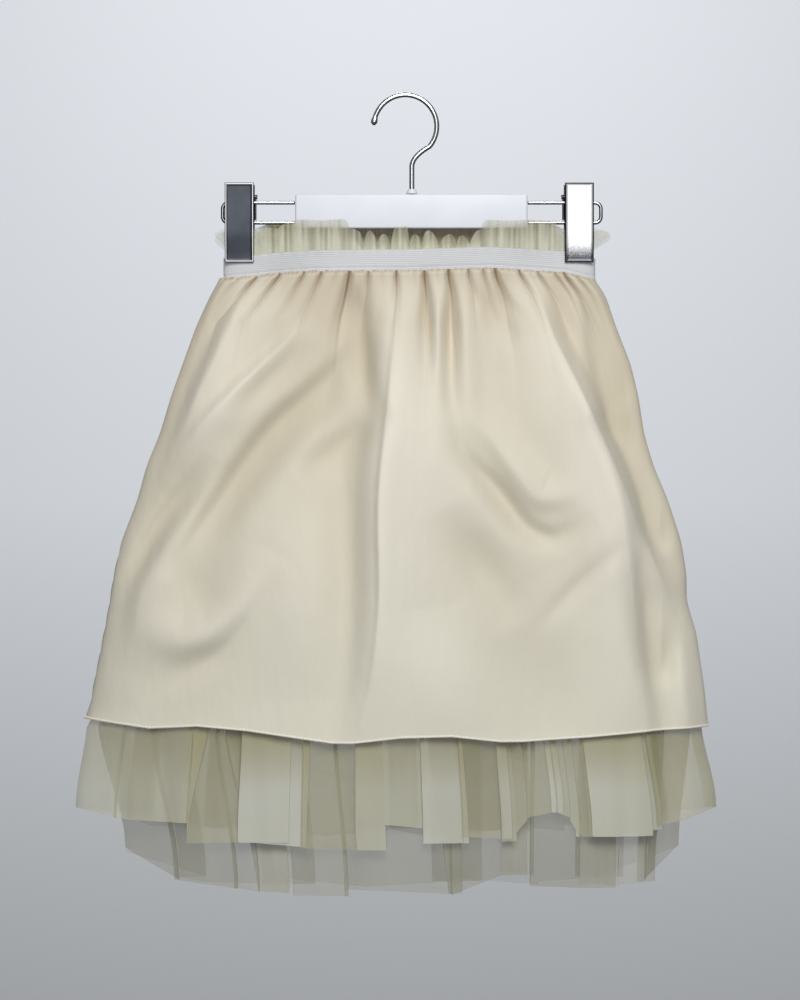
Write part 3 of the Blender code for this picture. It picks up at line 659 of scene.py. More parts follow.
def tulle_points(table, insets, side_inset, is_front, random):
    """Points of a tulle tier, rows from behind the band to the raw hem, and the density of its columns."""
    columns = pleat_columns(table)
    upper_rows, lower_rows = TULLE_ROWS
    lower = np.linspace(TULLE_UPPER, 1, lower_rows)[1:]
    rows = np.concatenate([np.linspace(0, TULLE_UPPER, upper_rows), lower])
    share, x_hem = np.meshgrid(rows, columns[:, 0], indexing="ij")
    shift, lift, hem, dense = [np.broadcast_to(columns[:, index], share.shape) for index in range(1, 5)]
    s = 2 * (x_hem - table[0][0]) / (table[-1][1] - table[0][0]) - 1
    z = between(CREAM_TOP, hem, share)
    for _ in range(PASSES):
        tuck_in = between(*side_inset, smooth(drop_at(z) / SIDE_INSET_DROP))
        flare = smooth((FLARE_TOP - z) / (FLARE_TOP - hem))
        left, right = sides(np.maximum(z, CREAM_HEM))
        x = between(between(left + tuck_in, right - tuck_in, (s + 1) / 2), x_hem, flare)
        z = between(read(BAND_TOP, x) - RUFFLE_TUCK, hem, share)
    held = 1 - np.clip((FLARE_TOP - z) / (FLARE_TOP - hem), 0, 1)
    x = x + shift * held * smooth(drop_at(z) / INSET_DROP)
    inset = between(*insets, smooth(drop_at(z) / INSET_DROP))
    side_fade = from_sides(s, PLEAT_SIDE_FADE)
    depth = layer_depth(s, np.maximum(z, CREAM_HEM), x, is_front, inset)
    rise = between(*PLEAT_RISE, share) * lift * side_fade
    waver = TULLE_WAVER * after(WAVER_START, share) * side_fade
    for wave_length in WAVER_LENGTHS:
        phase = random.uniform(0, 2 * math.pi)
        depth = depth + waver * np.sin(2 * math.pi * x / wave_length + phase + z / WAVER_SLANT)
    depth = np.maximum(depth + rise * (1 if is_front else BACK_RISE_SHARE), TULLE_LEAST_DEPTH)
    # Painted shade: the net is darker and sheerer just below the cream hem.
    dense = dense * between(PALE_AT_HEM, 1, smooth((CREAM_HEM - z) / PALE_LENGTH))
    return np.stack([x, -depth if is_front else depth, z], axis=-1), dense


def clip_grip(x):
    """1 where a clip holds the cloth, 0 away from it."""
    near = [smooth((np.maximum(left - x, x - right) - GRIP_MARGIN) / GRIP_FADE) for _, left, right in CLIPS]
    return 1 - np.minimum(*near)


def ruffle_points(tips, is_front):
    """Points of the heading ruffle, rows from behind the band to the tips."""
    share, s = np.meshgrid(np.linspace(0, 1, RUFFLE_ROWS), np.linspace(-1, 1, RUFFLE_COLUMNS), indexing="ij")
    low_x = between(BAND_LEFT + RUFFLE_SIDE_INSET, BAND_RIGHT - RUFFLE_SIDE_INSET, (s + 1) / 2)
    flare = after(RUFFLE_FLARE_START, np.abs(s))
    high_x = between(low_x, np.where(s < 0, tips[0][0], tips[-1][0]), flare)
    rise = after(RUFFLE_TUFT_START, share)
    x = between(low_x, high_x, rise)
    tip = read_round(tips, high_x) + (0 if is_front else BACK_TIP_LIFT)
    z = between(read(BAND_TOP, low_x) - RUFFLE_TUCK, tip, share)
    free = (1 - np.maximum(clip_grip(x), clip_grip(low_x))) * from_sides(s, RUFFLE_SIDE_FADE)
    lean = read_soft(tips, high_x, 2) * rise
    uneven = RUFFLE_UNEVEN[0] * np.sin(RUFFLE_UNEVEN[1] * s)
    for count, height in RUFFLE_WAVES:
        lean = lean + height * rise**RUFFLE_GROWTH * np.cos(math.pi * count * (s + 1) + uneven)
    depth = np.maximum(waist_depth(s, RUFFLE_BASE_INSET) + lean * free, LEAST_DEPTH)
    return np.stack([x, -depth if is_front else depth, z], axis=-1)


def band_points():
    """Points of the ribbed elastic loop, rows from its top to its bottom."""
    s = np.sin(np.linspace(-math.pi / 2, math.pi / 2, 400))
    x = between(BAND_LEFT + BAND_WALL, BAND_RIGHT - BAND_WALL, (s + 1) / 2)
    y = waist_depth(s, BAND_WALL)
    loop = np.concatenate([np.stack([x, -y, s], 1), np.stack([x, y, s], 1)[::-1][1:-1]])
    loop = np.concatenate([loop, loop[:1]])
    length = distances(loop[:, :2])
    places = np.linspace(0, length[-1], BAND_COLUMNS, endpoint=False)
    x, y, s = [np.interp(places, length, loop[:, axis]) for axis in range(3)]
    outward = np.stack([np.gradient(y), -np.gradient(x)], 1)
    outward /= np.linalg.norm(outward, axis=1)[:, None]
    share = np.linspace(0, 1, BAND_ROWS)[:, None]
    rib = RIB_RISE * np.cos(2 * math.pi * RIB_COUNT * share)
    stitch_up, stitch_sunk, stitch_width = BAND_STITCH
    stitch = -stitch_sunk * np.exp(-((((1 - share) * BAND_HEIGHT - stitch_up) / stitch_width) ** 2))
    pucker = BAND_PUCKER * np.sin(2 * math.pi * places / BAND_PUCKER_LENGTH) * np.abs(2 * share - 1) ** 2
    away = rib + stitch + pucker + BAND_WALL / 2
    waver = sum(height * np.sin(places / pitch + start) for height, pitch, start in BAND_WAVER)
    lower = np.clip((share - BAND_WAVER_START) / (1 - BAND_WAVER_START), 0, None)
    z = read(BAND_TOP, x) - BAND_HEIGHT * share + waver * lower
    return np.stack([x + outward[:, 0] * away, y + outward[:, 1] * away, z], axis=-1)


def put_in_scene(name, data, location=(0, 0, 0)):
    made = bpy.data.objects.new(name, data)
    made.location = location
    bpy.context.scene.collection.objects.link(made)
    return made


def grid_object(name, points, faces_front=True, closed=False):
    """A smooth sheet through rows and columns of points, its cloth measured in metres as its texture map."""
    rows, columns = points.shape[:2]
    index = np.arange(rows * columns).reshape(rows, columns)
    if closed:
        index = np.concatenate([index, index[:, :1]], axis=1)
    corners = [index[:-1, :-1], index[1:, :-1], index[1:, 1:], index[:-1, 1:]]
    if not faces_front:
        corners.reverse()
    quads = np.stack(corners, axis=-1).reshape(-1, 4)
    mesh = bpy.data.meshes.new(name)
    mesh.from_pydata((points.reshape(-1, 3) * MM).tolist(), [], quads.tolist())
    u = distances(points[rows * 2 // 3]) * MM
    v = distances(points[:, columns // 2]) * MM
    flat = np.stack(np.broadcast_arrays(u[None, :], -v[:, None]), axis=-1).reshape(-1, 2)
    layer = mesh.uv_layers.new(name="cloth")
    layer.data.foreach_set("uv", flat[quads.reshape(-1)].astype(np.float32).reshape(-1))
    mesh.shade_smooth()
    return put_in_scene(name, mesh)


def thicken(made, thickness, rim_finish=0):
    """Gives a sheet a wall towards its inside."""
    wall = made.modifiers.new("Wall", "SOLIDIFY")
    wall.thickness = thickness * MM
    wall.offset = -1
    wall.material_offset_rim = rim_finish


def set_shares(made, name, shares):
    """A named share from 0 to 1 at each point, for the finish to read."""
    layer = made.data.attributes.new(name, "FLOAT", "POINT")
    layer.data.foreach_set("value", np.clip(shares, 0, 1).astype(np.float32).reshape(-1))


def tube(name, route, radii, sides=16):
    """A round wire with closed ends along a route of points; its radius can change on the way."""
    route = np.array(route, float)
    radii = np.broadcast_to(np.asarray(radii, float), len(route))
    near_start = between(route[:1], route[1:2], RING_BY_END)
    near_end = between(route[-1:], route[-2:-1], RING_BY_END)
    route = np.concatenate([route[:1], near_start, route[1:-1], near_end, route[-1:]])
    start_radius = between(radii[:1], radii[1:2], RING_BY_END)
    radii = np.concatenate([radii[:1], start_radius, radii[1:], radii[-1:]])
    along = np.gradient(route, axis=0)
    along /= np.linalg.norm(along, axis=1)[:, None]
    first = np.cross(along, (0.0, 1.0, 0.0))
    first /= np.linalg.norm(first, axis=1)[:, None]
    second = np.cross(along, first)
    angles = np.linspace(0, 2 * math.pi, sides, endpoint=False)
    ring = first[:, None] * np.cos(angles)[:, None] + second[:, None] * np.sin(angles)[:, None]
    points = route[:, None] + ring * radii[:, None, None]
    made = grid_object(name, points, closed=True)
    fill_ends(made)
    return made


def fill_ends(made):
    built = bmesh.new()
    built.from_mesh(made.data)
    bmesh.ops.holes_fill(built, edges=[edge for edge in built.edges if edge.is_boundary])
    bmesh.ops.recalc_face_normals(built, faces=built.faces)
    built.to_mesh(made.data)
    built.free()


def join(name, parts):
    """Several objects as one, each keeping its own finish."""
    bpy.ops.object.select_all(action="DESELECT")
    for part in parts:
        part.select_set(True)
    bpy.context.view_layer.objects.active = parts[0]
    bpy.ops.object.join()
    parts[0].name = name
    return parts[0]


def finish_piece(made, nodes, finish=None):
    """Paints a piece, hangs it on the body and lets it stand for its solids."""
    if finish:
        made.data.materials.clear()
        made.data.materials.append(finish)
    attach(made, "root")
    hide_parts(*nodes)


class Nodes:
    """A material's node tree with short ways to add to it."""

    def __init__(self, name):
        self.material = bpy.data.materials.new(name)
        self.material.use_nodes = True
        self.tree = self.material.node_tree
        self.shader = self.tree.nodes["Principled BSDF"]

    def add(self, kind, inputs=(), **settings):
        """A node; each of its inputs given takes a value or a link from another node."""
        node = self.tree.nodes.new(kind)
        for key, value in settings.items():
            setattr(node, key, value)
        for key, value in dict(inputs).items():
            if isinstance(value, bpy.types.NodeSocket):
                self.tree.links.new(value, node.inputs[key])
            else:
                node.inputs[key].default_value = value
        return node

    def link(self, source, name):
        self.tree.links.new(source, self.shader.inputs[name])

    def set(self, **values):
        for key, value in values.items():
            self.shader.inputs[key.replace("_", " ")].default_value = value

    def maths(self, operation, *values):
        return self.add("ShaderNodeMath", enumerate(values), operation=operation).outputs[0]

    def noise(self, scale, detail=2, stretch=(1, 1, 1)):
        place = self.add("ShaderNodeTexCoord").outputs["Object"]
        stretched = self.add("ShaderNodeMapping", {"Vector": place, "Scale": stretch}).outputs["Vector"]
        inputs = {"Vector": stretched, "Scale": scale, "Detail": detail}
        return self.add("ShaderNodeTexNoise", inputs).outputs["Fac"]

    def axes(self, kind, source):
        """The single axes of a node's vector."""
        vector = self.add(kind).outputs[source]
        return self.add("ShaderNodeSeparateXYZ", {"Vector": vector}).outputs

    def height(self, low, high):
        """0 at one height in metres and 1 at the other."""
        z = self.axes("ShaderNodeTexCoord", "Object")["Z"]
        inputs = {"Value": z, "From Min": low, "From Max": high}
        return self.add("ShaderNodeMapRange", inputs).outputs["Result"]

    def cloth_axes(self):
        """Metres along the cloth's width and its length."""
        parts = self.axes("ShaderNodeTexCoord", "UV")
        return parts["X"], parts["Y"]

    def threads(self, axis, pitch, power=1.0):
        """A row of threads, 0 between them and 1 on them."""
        wave = self.maths("SINE", self.maths("MULTIPLY", axis, 2 * math.pi / pitch))
        return self.maths("POWER", self.maths("MULTIPLY_ADD", wave, 0.5, 0.5), power)

    def colours(self, factor, low, high, start=0.3, end=0.7):
        ramp = self.add("ShaderNodeValToRGB", {"Fac": factor})
        for element, colour, position in zip(ramp.color_ramp.elements, (low, high), (start, end)):
            element.color = (*colour, 1)
            element.position = position
        self.link(ramp.outputs["Color"], "Base Color")

    def share(self, name):
        """A share stored at the mesh's points."""
        return self.add("ShaderNodeAttribute", attribute_name=name).outputs["Fac"]

    def blend(self, factor, colour):
        """Blends the colour so far towards another one."""
        so_far = self.shader.inputs["Base Color"].links[0].from_socket
        mix = self.add("ShaderNodeMix", {0: factor}, data_type="RGBA")
        self.tree.links.new(so_far, mix.inputs[6])
        mix.inputs[7].default_value = (*colour, 1)
        self.link(mix.outputs[2], "Base Color")

    def bump(self, height, distance, strength=1.0, below=None):
        inputs = {"Height": height, "Distance": distance, "Strength": strength}
        if below is not None:
            inputs["Normal"] = below
        return self.add("ShaderNodeBump", inputs).outputs["Normal"]

    def surface(self, normal):
        self.link(normal, "Normal")


def chiffon():
    """Cream satin-backed chiffon: a fine weave with a soft sheen and a faint crinkle, with painted shade and
    painted highlights on its folds.
    """
    made = Nodes("cream chiffon")
    # Painted shade: the cream runs darker and warmer up towards the band, broken by random patches.
    height = made.height(CREAM_HEM * MM, CREAM_TOP * MM)
    patchy = made.maths("MULTIPLY_ADD", made.noise(9, 3), 0.5, -0.25)
    made.colours(made.maths("ADD", height, patchy), (0.732, 0.707, 0.593), (0.64, 0.572, 0.45), 0.0, 1.0)
    # Painted highlight on the crease ridges and painted shade in their troughs.
    made.blend(made.maths("MULTIPLY", made.share("painted_crest_highlight"), 0.6), (0.87, 0.835, 0.735))
    made.blend(made.maths("MULTIPLY", made.share("painted_hollow_shade"), 0.43), (0.54, 0.48, 0.33))
    # Painted shade along the pinched gathers, the seam and the hem tip.
    made.blend(made.share("pinch_shade"), (0.22, 0.14, 0.08))
    made.set(Roughness=0.55, Sheen_Weight=0.2, Sheen_Roughness=0.4, Specular_IOR_Level=0.28)
    u, v = made.cloth_axes()
    weave = made.maths("ADD", made.threads(u, 0.0006), made.threads(v, 0.0006))
    crinkle = made.noise(70, 3, (1.6, 1, 0.7))
    fine = made.bump(weave, 0.00004, 0.25)
    uneven = made.bump(made.noise(24, 2, (1.5, 1, 0.6)), 0.004, 0.3, fine)
    made.surface(made.bump(crinkle, 0.0011, 0.35, uneven))
    return made.material


def hem_thread():
    """Overlock thread of the rolled hem, a little lighter than the cloth."""
    made = Nodes("hem thread")
    made.colours(made.noise(900, 1), (0.80, 0.75, 0.66), (0.90, 0.86, 0.78))
    made.set(Roughness=0.6, Sheen_Weight=0.2)
    return made.material


def tulle(name, sheer, dense, shade, pale, under_hem_shade=0.0):
    """Fine net, its threads crossing on the slant: what lies behind shows through, less where dense; its
    colour runs from a painted shade where it is sparse to pale where it is dense.
    """
    made = Nodes(name)
    amount = made.share("net_cover_and_shade")
    patchy = made.maths("MULTIPLY_ADD", made.noise(12, 2), 0.5, -0.25)
    # Painted shade: sparse net takes the shade colour and dense net the pale one.
    made.colours(made.maths("ADD", amount, patchy), shade, pale, 0.0, 1.0)
    # Painted shade just below the cream hem, blended towards olive.
    below_hem = made.height((CREAM_HEM - PALE_LENGTH) * MM, CREAM_HEM * MM)
    made.blend(made.maths("MULTIPLY", below_hem, under_hem_shade), HEM_SHADE_OLIVE)
    made.set(Roughness=0.8, Specular_IOR_Level=0.15)
    u, v = made.cloth_axes()
    one = made.threads(made.maths("ADD", u, v), NET_PITCH, 3)
    other = made.threads(made.maths("SUBTRACT", u, v), NET_PITCH, 3)
    net = made.maths("MAXIMUM", one, other)
    cover = made.maths("MULTIPLY_ADD", amount, dense - sheer, sheer)
    threads = made.maths("MULTIPLY_ADD", net, NET_CONTRAST, 1 - NET_CONTRAST / 2)
    made.link(made.maths("MULTIPLY", cover, threads), "Alpha")
    made.surface(made.bump(net, 0.0001, 0.3))
    return made.material


def elastic():
    """Ribbed knitted elastic with paler ribs and a fine knit across them."""
    made = Nodes("ribbed elastic")
    u, v = made.cloth_axes()
    ribs = made.threads(v, BAND_HEIGHT * MM / RIB_COUNT, 1.5)
    streaks = made.noise(110, 3, (0.5, 1, 12))
    made.colours(made.maths("MULTIPLY", ribs, streaks), (0.62, 0.63, 0.65), (0.70, 0.71, 0.74), 0.05, 0.5)
    worn = made.maths("MULTIPLY", made.maths("POWER", made.noise(26, 2, (0.6, 1, 2)), 3), 0.8)
    made.blend(worn, (0.42, 0.43, 0.45))
    made.set(Roughness=0.55, Sheen_Weight=0.2, Specular_IOR_Level=0.4)
    knit = made.threads(u, 0.0011)
    made.surface(made.bump(knit, 0.00008, 0.4))
    return made.material


def painted_white():
    made = Nodes("painted white bar")
    made.colours(made.noise(30, 2), (0.76, 0.79, 0.86), (0.81, 0.84, 0.91))
    made.set(Roughness=0.38, Specular_IOR_Level=0.4)
    made.surface(made.bump(made.noise(420, 2), 0.00008, 0.2))
    return made.material


def chrome_with_painted_reflection(name, dark_until, bright_from):
    """Bright plating with a painted reflection: pale where it faces out and up, dark along its sides and
    below.
    """
    made = Nodes(name)
    parts = made.axes("ShaderNodeNewGeometry", "Normal")
    # Painted reflection: the colour follows which way the surface faces.
    painted_reflection = made.maths("MULTIPLY", made.maths("ABSOLUTE", parts["Y"]), 0.6)
    painted_reflection = made.maths("ADD", painted_reflection, made.maths("MULTIPLY", parts["Z"], 0.3))
    painted_reflection = made.maths("ADD", painted_reflection, made.maths("MULTIPLY", made.noise(160, 2), 0.1))
    made.colours(painted_reflection, (0.04, 0.04, 0.045), (0.84, 0.85, 0.87), dark_until, bright_from)
    made.set(Metallic=1.0, Roughness=0.16)
    return made.material


def metal(name, low, high, roughness, scale=120):
    made = Nodes(name)
    made.colours(made.noise(scale, 3), low, high)
    made.set(Metallic=1.0, Roughness=roughness)
    made.surface(made.bump(made.noise(300, 2), 0.00005, 0.15))
    return made.material


def painted_bright_reflection():
    """Polished face with a painted reflection of a bright room, painted dark and speckled near its foot."""
    made = Nodes("chrome in bright painted reflection")
    # Painted shade: darker and speckled towards the clip's foot.
    speckle = made.maths("MULTIPLY_ADD", made.noise(1500, 2), 0.9, -0.45)
    foot = made.maths("ADD", made.height(-0.1215, -0.1065), speckle)
    made.colours(foot, (0.06, 0.065, 0.075), (0.93, 0.94, 0.95), 0.1, 0.8)
    made.set(Metallic=0.5, Roughness=0.3)
    return made.material


def hem_bead(name, edge, finish):
    """Rolled hem with its overlock stitches, along the last row of a panel."""
    length = distances(edge)
    places = np.arange(0, length[-1], HEM_STITCH / 4)
    route = np.stack([np.interp(places, length, edge[:, axis]) for axis in range(3)], axis=1)
    radii = HEM_BEAD + HEM_STITCH_RISE * np.sin(2 * math.pi * places / HEM_STITCH)
    route[:, 2] += 0.3
    made = tube(name, route, radii, sides=6)
    made.data.materials.append(finish)
    return made


def make_cream(cloth, thread):
    for name, node, columns, rows, is_front in (
        ("cream_front", "skirt_front", CREAM_COLUMNS, CREAM_ROWS, True),
        ("cream_back", "skirt_back", BACK_COLUMNS, BACK_ROWS, False),
    ):
        points, shares = cream_points(columns, rows, is_front)
        panel = grid_object(name, points, faces_front=is_front)
        for share_name, values in shares.items():
            set_shares(panel, share_name, values)
        panel.data.materials.append(cloth)
        bead = hem_bead(name + "_hem", points[-1], thread)
        panel = join(name, [panel, bead])
        finish_piece(panel, [node])


def make_tulle(short_net, short_back_net, long_net, long_back_net):
    random = np.random.default_rng(11)
    tiers = (
        ("tulle_short_front", SHORT_FRONT, SHORT_INSET, SHORT_SIDE_INSET, True, short_net, (0.95, 0.43)),
        ("tulle_short_back", SHORT_BACK, SHORT_INSET, SHORT_SIDE_INSET, False, short_back_net, (0.88, 0.43)),
        ("tulle_long_front", LONG_FRONT, LONG_INSET, LONG_SIDE_INSET, True, long_net, (0.75, 0.47)),
        ("tulle_long_back", LONG_BACK, LONG_INSET, LONG_SIDE_INSET, False, long_back_net, (0.70, 0.47)),
    )
    for name, table, insets, side_inset, is_front, net, cut in tiers:
        if not is_front:
            insets = (insets[0], between(*insets, BACK_SHARE))
        points, dense = tulle_points(table, insets, side_inset, is_front, random)
        tier = grid_object(name + "_net", points, faces_front=is_front)
        set_shares(tier, "net_cover_and_shade", dense)
        finish_piece(tier, [name], net)


def make_ruffles(net, shaded_back_net):
    random = np.random.default_rng(23)
    streak_places = np.arange(BAND_LEFT, BAND_RIGHT, STREAK_WIDTH)
    for name, tips, is_front in (("ruffle_front", RUFFLE_FRONT, True), ("ruffle_back", RUFFLE_BACK, False)):
        points = ruffle_points(tips, is_front)
        ruffle = grid_object(name + "_net", points, faces_front=is_front)
        height = np.linspace(0, 1, RUFFLE_ROWS)[:, None] ** 2
        shades = random.uniform(-STREAK_SHADE, STREAK_SHADE, len(streak_places))
        reach = np.abs(np.linspace(-1, 1, RUFFLE_COLUMNS))
        start, length, amount = RUFFLE_END if is_front else BACK_RUFFLE_END
        dense = np.ones((RUFFLE_ROWS, 1))
        if is_front:
            dense = between(*RUFFLE_DENSE, height) + np.interp(points[0, :, 0], streak_places, shades)
        dense = dense * (1 - amount * smooth((reach - start) / length))
        set_shares(ruffle, "net_cover_and_shade", dense)
        # The back ruffle takes the net painted darker as shade.
        finish_piece(ruffle, [name], net if is_front else shaded_back_net)


def make_band(finish):
    points = band_points()
    band = grid_object("elastic_band", points, closed=True)
    thicken(band, BAND_WALL)
    finish_piece(band, ["waistband"], finish)


def hook_route():
    """The hook's arc, its S bend and its straight stem."""
    centre_z = -(HOOK_RADIUS - HOOK_WIRE / 2)
    angles = np.radians(np.linspace(HOOK_TIP_ANGLE, HOOK_LEAVE_ANGLE, HOOK_STEPS))
    arc = [(HOOK_RADIUS * math.cos(a), 0.0, centre_z + HOOK_RADIUS * math.sin(a)) for a in angles]
    leave_x, _, leave_z = arc[-1]
    bend = []
    for share in np.linspace(0, 1, 20)[1:]:
        x = between(leave_x, STEM_X, 1 - (1 - share) ** 2)
        bend.append((x, 0.0, between(leave_z, STEM_BEND_Z, share)))
    return arc + bend + [(STEM_X, 0.0, BAR_TOP + 4.0), (STEM_X, 0.0, BAR_TOP + GAP)]


def make_hook(chrome, paint):
    route = np.array(hook_route())
    radii = np.full(len(route), HOOK_WIRE / 2)
    from_tip = np.linalg.norm(route - route[0], axis=1)
    ball = from_tip < TIP_BALL_LENGTH
    radii[ball] *= 1 + TIP_BALL_RISE * np.sin(math.pi * from_tip[ball] / TIP_BALL_LENGTH)
    radii[:2] *= TIP_ROUNDING
    finish_piece(tube("hook_wire", route, radii, sides=28), ["hook"], chrome)
    heights, rings = zip(*FERRULE)
    column = [(STEM_X, 0.0, BAR_TOP + GAP + height) for height in heights]
    finish_piece(tube("stem_ferrule", column, rings, sides=32), ["hook_ferrule"], paint)


def box(name, left, right, thickness, low, high, corner, segments):
    """A box with rounded edges, its thickness evenly to both sides of the middle plane."""
    bpy.ops.mesh.primitive_cube_add(size=1.0, calc_uvs=False)
    made = bpy.context.active_object
    made.name = name
    size = Vector((right - left, thickness, high - low)) * MM
    centre = Vector((left + right, 0, low + high)) / 2 * MM
    for point in made.data.vertices:
        point.co = point.co * size + centre
    rounded = made.modifiers.new("Rounded edges", "BEVEL")
    rounded.width = corner * MM
    rounded.segments = segments
    made.data.shade_smooth()
    return made


def make_bar(finish):
    bar = box("white_bar", BAR_LEFT, BAR_RIGHT, BAR_THICKNESS, BAR_BOTTOM, BAR_TOP, BAR_CORNER, 4)
    finish_piece(bar, ["hanger_bar"], finish)


def make_rails(chrome):
    """One bent wire at each end of the bar: out along the top, round the end and back."""
    bends = ((RAIL_TOP - RAIL_CORNER, 90, 180), (RAIL_BOTTOM + RAIL_CORNER, 180, 270))
    for side, start, end in (("left", BAR_LEFT - GAP, RAIL_LEFT), ("right", BAR_RIGHT + GAP, RAIL_RIGHT)):
        inward = RAIL_CORNER if end < start else -RAIL_CORNER
        route = [(x, 0.0, RAIL_TOP) for x in np.linspace(start, end + inward, 6)[:-1]]
        for centre_z, first, last in bends:
            for angle in np.radians(np.linspace(first, last, 14)):
                x = end + inward + inward * math.cos(angle)
                route.append((x, 0.0, centre_z + RAIL_CORNER * math.sin(angle)))
        route += [(x, 0.0, RAIL_BOTTOM) for x in np.linspace(end + inward, start, 6)[1:]]
        rail = tube(f"rail_{side}", route, RAIL_WIRE / 2, sides=20)
        finish_piece(rail, [f"wire_{side}"], chrome)


def rimmed(low, high, count):
    """Steps from one edge to the other, finer at the rims."""
    rim = np.array(RIM_STEPS)
    middle = np.linspace(low + rim[-1], high - rim[-1], count)[1:-1]
    return np.concatenate([low + rim, middle, high - rim[::-1]])


def plate_profile():
    """Side view of a clip plate's outer face as distance, height: flat, then bent in to grip the band."""
    grip = GRIP_DEPTH + GAP
    jaw = CLIP_BOTTOM + JAW_HEIGHT
    z = np.linspace(CLIP_TOP, CLIP_BOTTOM, 60)
    bent = np.interp(-z, [-CLIP_KNEE, -jaw], [CLIP_FACE, grip])
    window = np.ones(7) / 7
    bent = np.convolve(np.pad(bent, 3, mode="edge"), window, mode="valid") + CLIP_PLATE
    rows = rimmed(CLIP_BOTTOM, CLIP_TOP, 40)[::-1]
    return np.interp(-rows, -z, bent), rows


def make_clips(borders, faces, dark):
    """Each clip has two plates with a raised border round a sunk face, and a dark bracket on the rails."""
    outer, z = plate_profile()
    for side, left, right in CLIPS:
        for way, sign in (("front", -1), ("back", 1)):
            columns = rimmed(left, right, 14)
            points = np.empty((len(z), len(columns), 3))
            points[..., 0] = columns
            points[..., 2] = z[:, None]
            edge_x = np.minimum(columns - left, right - columns)
            edge_z = np.minimum(CLIP_TOP - z, z - CLIP_BOTTOM)
            edge = np.minimum(edge_x[None, :], edge_z[:, None])
            sunk = CLIP_SUNK * smooth((edge - CLIP_BORDER) / CLIP_SINK_WIDTH)
            rounding = CLIP_ROUND_DEPTH * (1 - smooth(edge / CLIP_ROUND_WIDTH))
            points[..., 1] = sign * (outer[:, None] - sunk - rounding)
            plate = grid_object(f"{side}_{way}_plate", points, faces_front=sign < 0)
            # The border and the sunk face take the clip's painted reflections.
            plate.data.materials.append(borders[side])
            plate.data.materials.append(faces[side])
            plate.data.materials.append(dark)
            paint_face(plate, edge)
            # The plate's side walls take the dark steel as painted shade.
            thicken(plate, CLIP_PLATE - CLIP_ROUND_DEPTH, rim_finish=2)
            finish_piece(plate, [f"clip_{side}_{way}"])
        make_bracket(side, left, right, dark)


def paint_face(plate, edge):
    """The sunk face inside the border takes the second finish and the outermost line the third, as painted
    shade.
    """
    middle = (edge[:-1, :-1] + edge[1:, 1:]) / 2
    finish = np.where(middle < RIM_STEPS[1], 2, (middle > CLIP_BORDER).astype(int))
    plate.data.polygons.foreach_set("material_index", finish.astype(np.int32).reshape(-1))


def make_bracket(side, left, right, dark):
    thickness = 2 * (CLIP_FACE - GAP)
    sizes = (left + BRACKET_MARGIN, right - BRACKET_MARGIN, thickness, BRACKET_BOTTOM, BRACKET_TOP)
    bracket = box(f"{side}_bracket", *sizes, BRACKET_CORNER, 3)
    inner, way = (right, 1) if side == "left" else (left, -1)
    pin_route = [(inner + way * x, 0, PIN_HEIGHT) for x in (-PIN_IN, 0.0, PIN_OUT - 0.5, PIN_OUT)]
    spring_route = [(inner + way * SPRING_OUT, 0, z) for z in (PIN_HEIGHT, SPRING_MIDDLE, SPRING_BOTTOM)]
    parts = [bracket, tube("pin", pin_route, PIN_RADIUS), tube("spring", spring_route, SPRING_RADIUS)]
    bracket = join(f"{side}_bracket", parts)
    finish_piece(bracket, [f"clip_{side}_bracket"], dark)


def wall_with_painted_shade():
    """Pale wall with painted shade: a little darker towards the floor and towards the top."""
    made = Nodes("pale wall")
    made.colours(made.height(-1.4, -0.3), (0.57, 0.58, 0.585), (0.77, 0.79, 0.82), 0.0, 1.0)
    made.blend(made.height(-0.3, 0.7), (0.66, 0.675, 0.70))
    made.set(Roughness=0.9, Specular_IOR_Level=0.1)
    return made.material


def make_stage():
    """A pale wall far behind that runs down into a pale floor."""
    near_y, wall_y, floor_z, top_z, bend, half = -4000.0, 3600.0, -2500.0, 3500.0, 900.0, 5000.0
    route = [(near_y, floor_z), (wall_y - bend, floor_z)]
    for angle in np.linspace(0, math.pi / 2, 14)[1:]:
        route.append((wall_y - bend + bend * math.sin(angle), floor_z + bend - bend * math.cos(angle)))
    route.append((wall_y, top_z))
    points = np.array([[(x, y, z) for x in (-half, half)] for y, z in route])
    wall = grid_object("wall", points, faces_front=False)
    wall.data.materials.append(wall_with_painted_shade())


def area_light(name, place, aim, size, power, colour):
    data = bpy.data.lights.new(name, "AREA")
    data.shape = "SQUARE"
    data.size = size
    data.energy = power
    data.color = colour
    light = put_in_scene(name, data, place)
    light.rotation_euler = (Vector(aim) - Vector(place)).to_track_quat("-Z", "Y").to_euler()


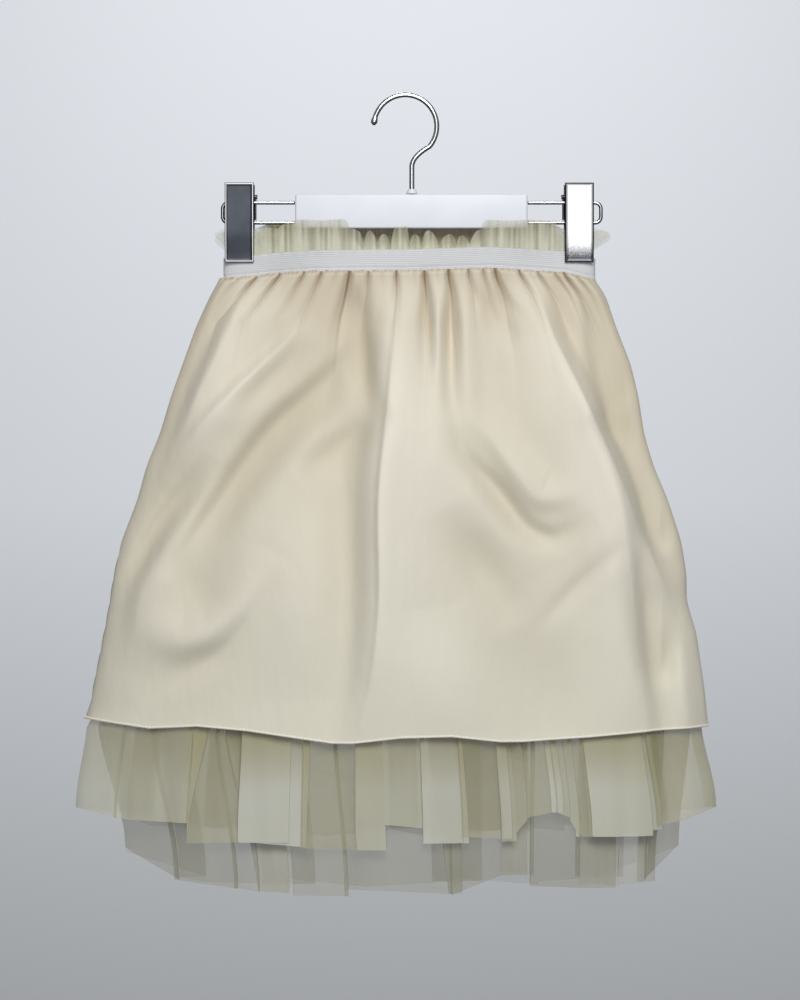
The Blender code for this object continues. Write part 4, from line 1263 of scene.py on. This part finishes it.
def make_light():
    world = bpy.data.worlds.new("studio")
    world.use_nodes = True
    sky = world.node_tree.nodes["Background"]
    sky.inputs["Color"].default_value = (0.92, 0.95, 1.0, 1)
    sky.inputs["Strength"].default_value = 0.16
    bpy.context.scene.world = world
    area_light("key", (0.15, -1.75, 0.85), (0, 0, -0.4), 1.0, 32, (1.0, 0.985, 0.96))
    area_light("front fill", (0.0, -2.8, -0.3), (0, 0, -0.35), 1.2, 12, (0.98, 0.99, 1.0))
    area_light("wall light", (0.0, 1.6, 1.6), (0, 3.6, -0.8), 1.6, 62, (0.97, 0.98, 1.0))
    bpy.context.scene.view_settings.view_transform = "Standard"


def make_camera():
    data = bpy.data.cameras.new("camera")
    data.angle = 2 * math.atan(FIELD_HEIGHT / 2 / CAMERA_AWAY)
    camera = put_in_scene("camera", data, (CAMERA_X * MM, -CAMERA_AWAY * MM, CAMERA_Z * MM))
    camera.rotation_euler = (math.pi / 2, 0, 0)
    bpy.context.scene.camera = camera


def main():
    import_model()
    chrome = chrome_with_painted_reflection("chrome", 0.25, 0.6)
    # Painted reflections of the clips' chrome, a dark one and a bright one.
    dark_painted_reflection = metal("chrome in dark painted reflection", (0.045, 0.05, 0.06), (0.06, 0.065, 0.08), 0.4, 60)
    bright = painted_bright_reflection()
    dark = metal("dark steel with painted edge shade", (0.05, 0.05, 0.055), (0.10, 0.10, 0.11), 0.35)
    make_cream(chiffon(), hem_thread())
    short_net = tulle("short tulle", 0.34, 0.74, (0.54, 0.51, 0.30), (0.71, 0.715, 0.63), 0.4)
    long_net = tulle("long tulle", 0.35, 0.60, (0.26, 0.25, 0.14), (0.78, 0.78, 0.72))
    # The back tiers take sheerer copies of the nets in lighter colours, painted light against the shade they
    # lie in behind the front tiers.
    short_back_net = tulle("short back tulle", 0.2, 0.34, (0.65, 0.63, 0.45), (0.70, 0.70, 0.60), 0.4)
    long_back_net = tulle("long back tulle", 0.2, 0.26, (0.40, 0.39, 0.26), (0.78, 0.78, 0.72))
    ruffle_net = tulle("ruffle tulle", 0.2, 0.97, (0.46, 0.45, 0.30), (0.65, 0.65, 0.53))
    # Darker copy of the ruffle net: painted shade under the bar.
    shaded_back_ruffle_net = tulle("back ruffle tulle in painted shade", 0.2, 1.1, (0.46, 0.45, 0.30), (0.32, 0.28, 0.17))
    make_tulle(short_net, short_back_net, long_net, long_back_net)
    make_ruffles(ruffle_net, shaded_back_ruffle_net)
    make_band(elastic())
    paint = painted_white()
    make_hook(chrome, paint)
    make_bar(paint)
    make_rails(chrome_with_painted_reflection("rail chrome", 0.45, 0.78))
    # Painted highlight on the left clip's border.
    rim = metal("rim in painted highlight", (0.86, 0.87, 0.89), (0.94, 0.95, 0.97), 0.4)
    rim.node_tree.nodes["Principled BSDF"].inputs["Metallic"].default_value = 0.2
    make_clips({"left": rim, "right": dark_painted_reflection}, {"left": dark_painted_reflection, "right": bright}, dark)
    make_stage()
    make_light()
    make_camera()


main()
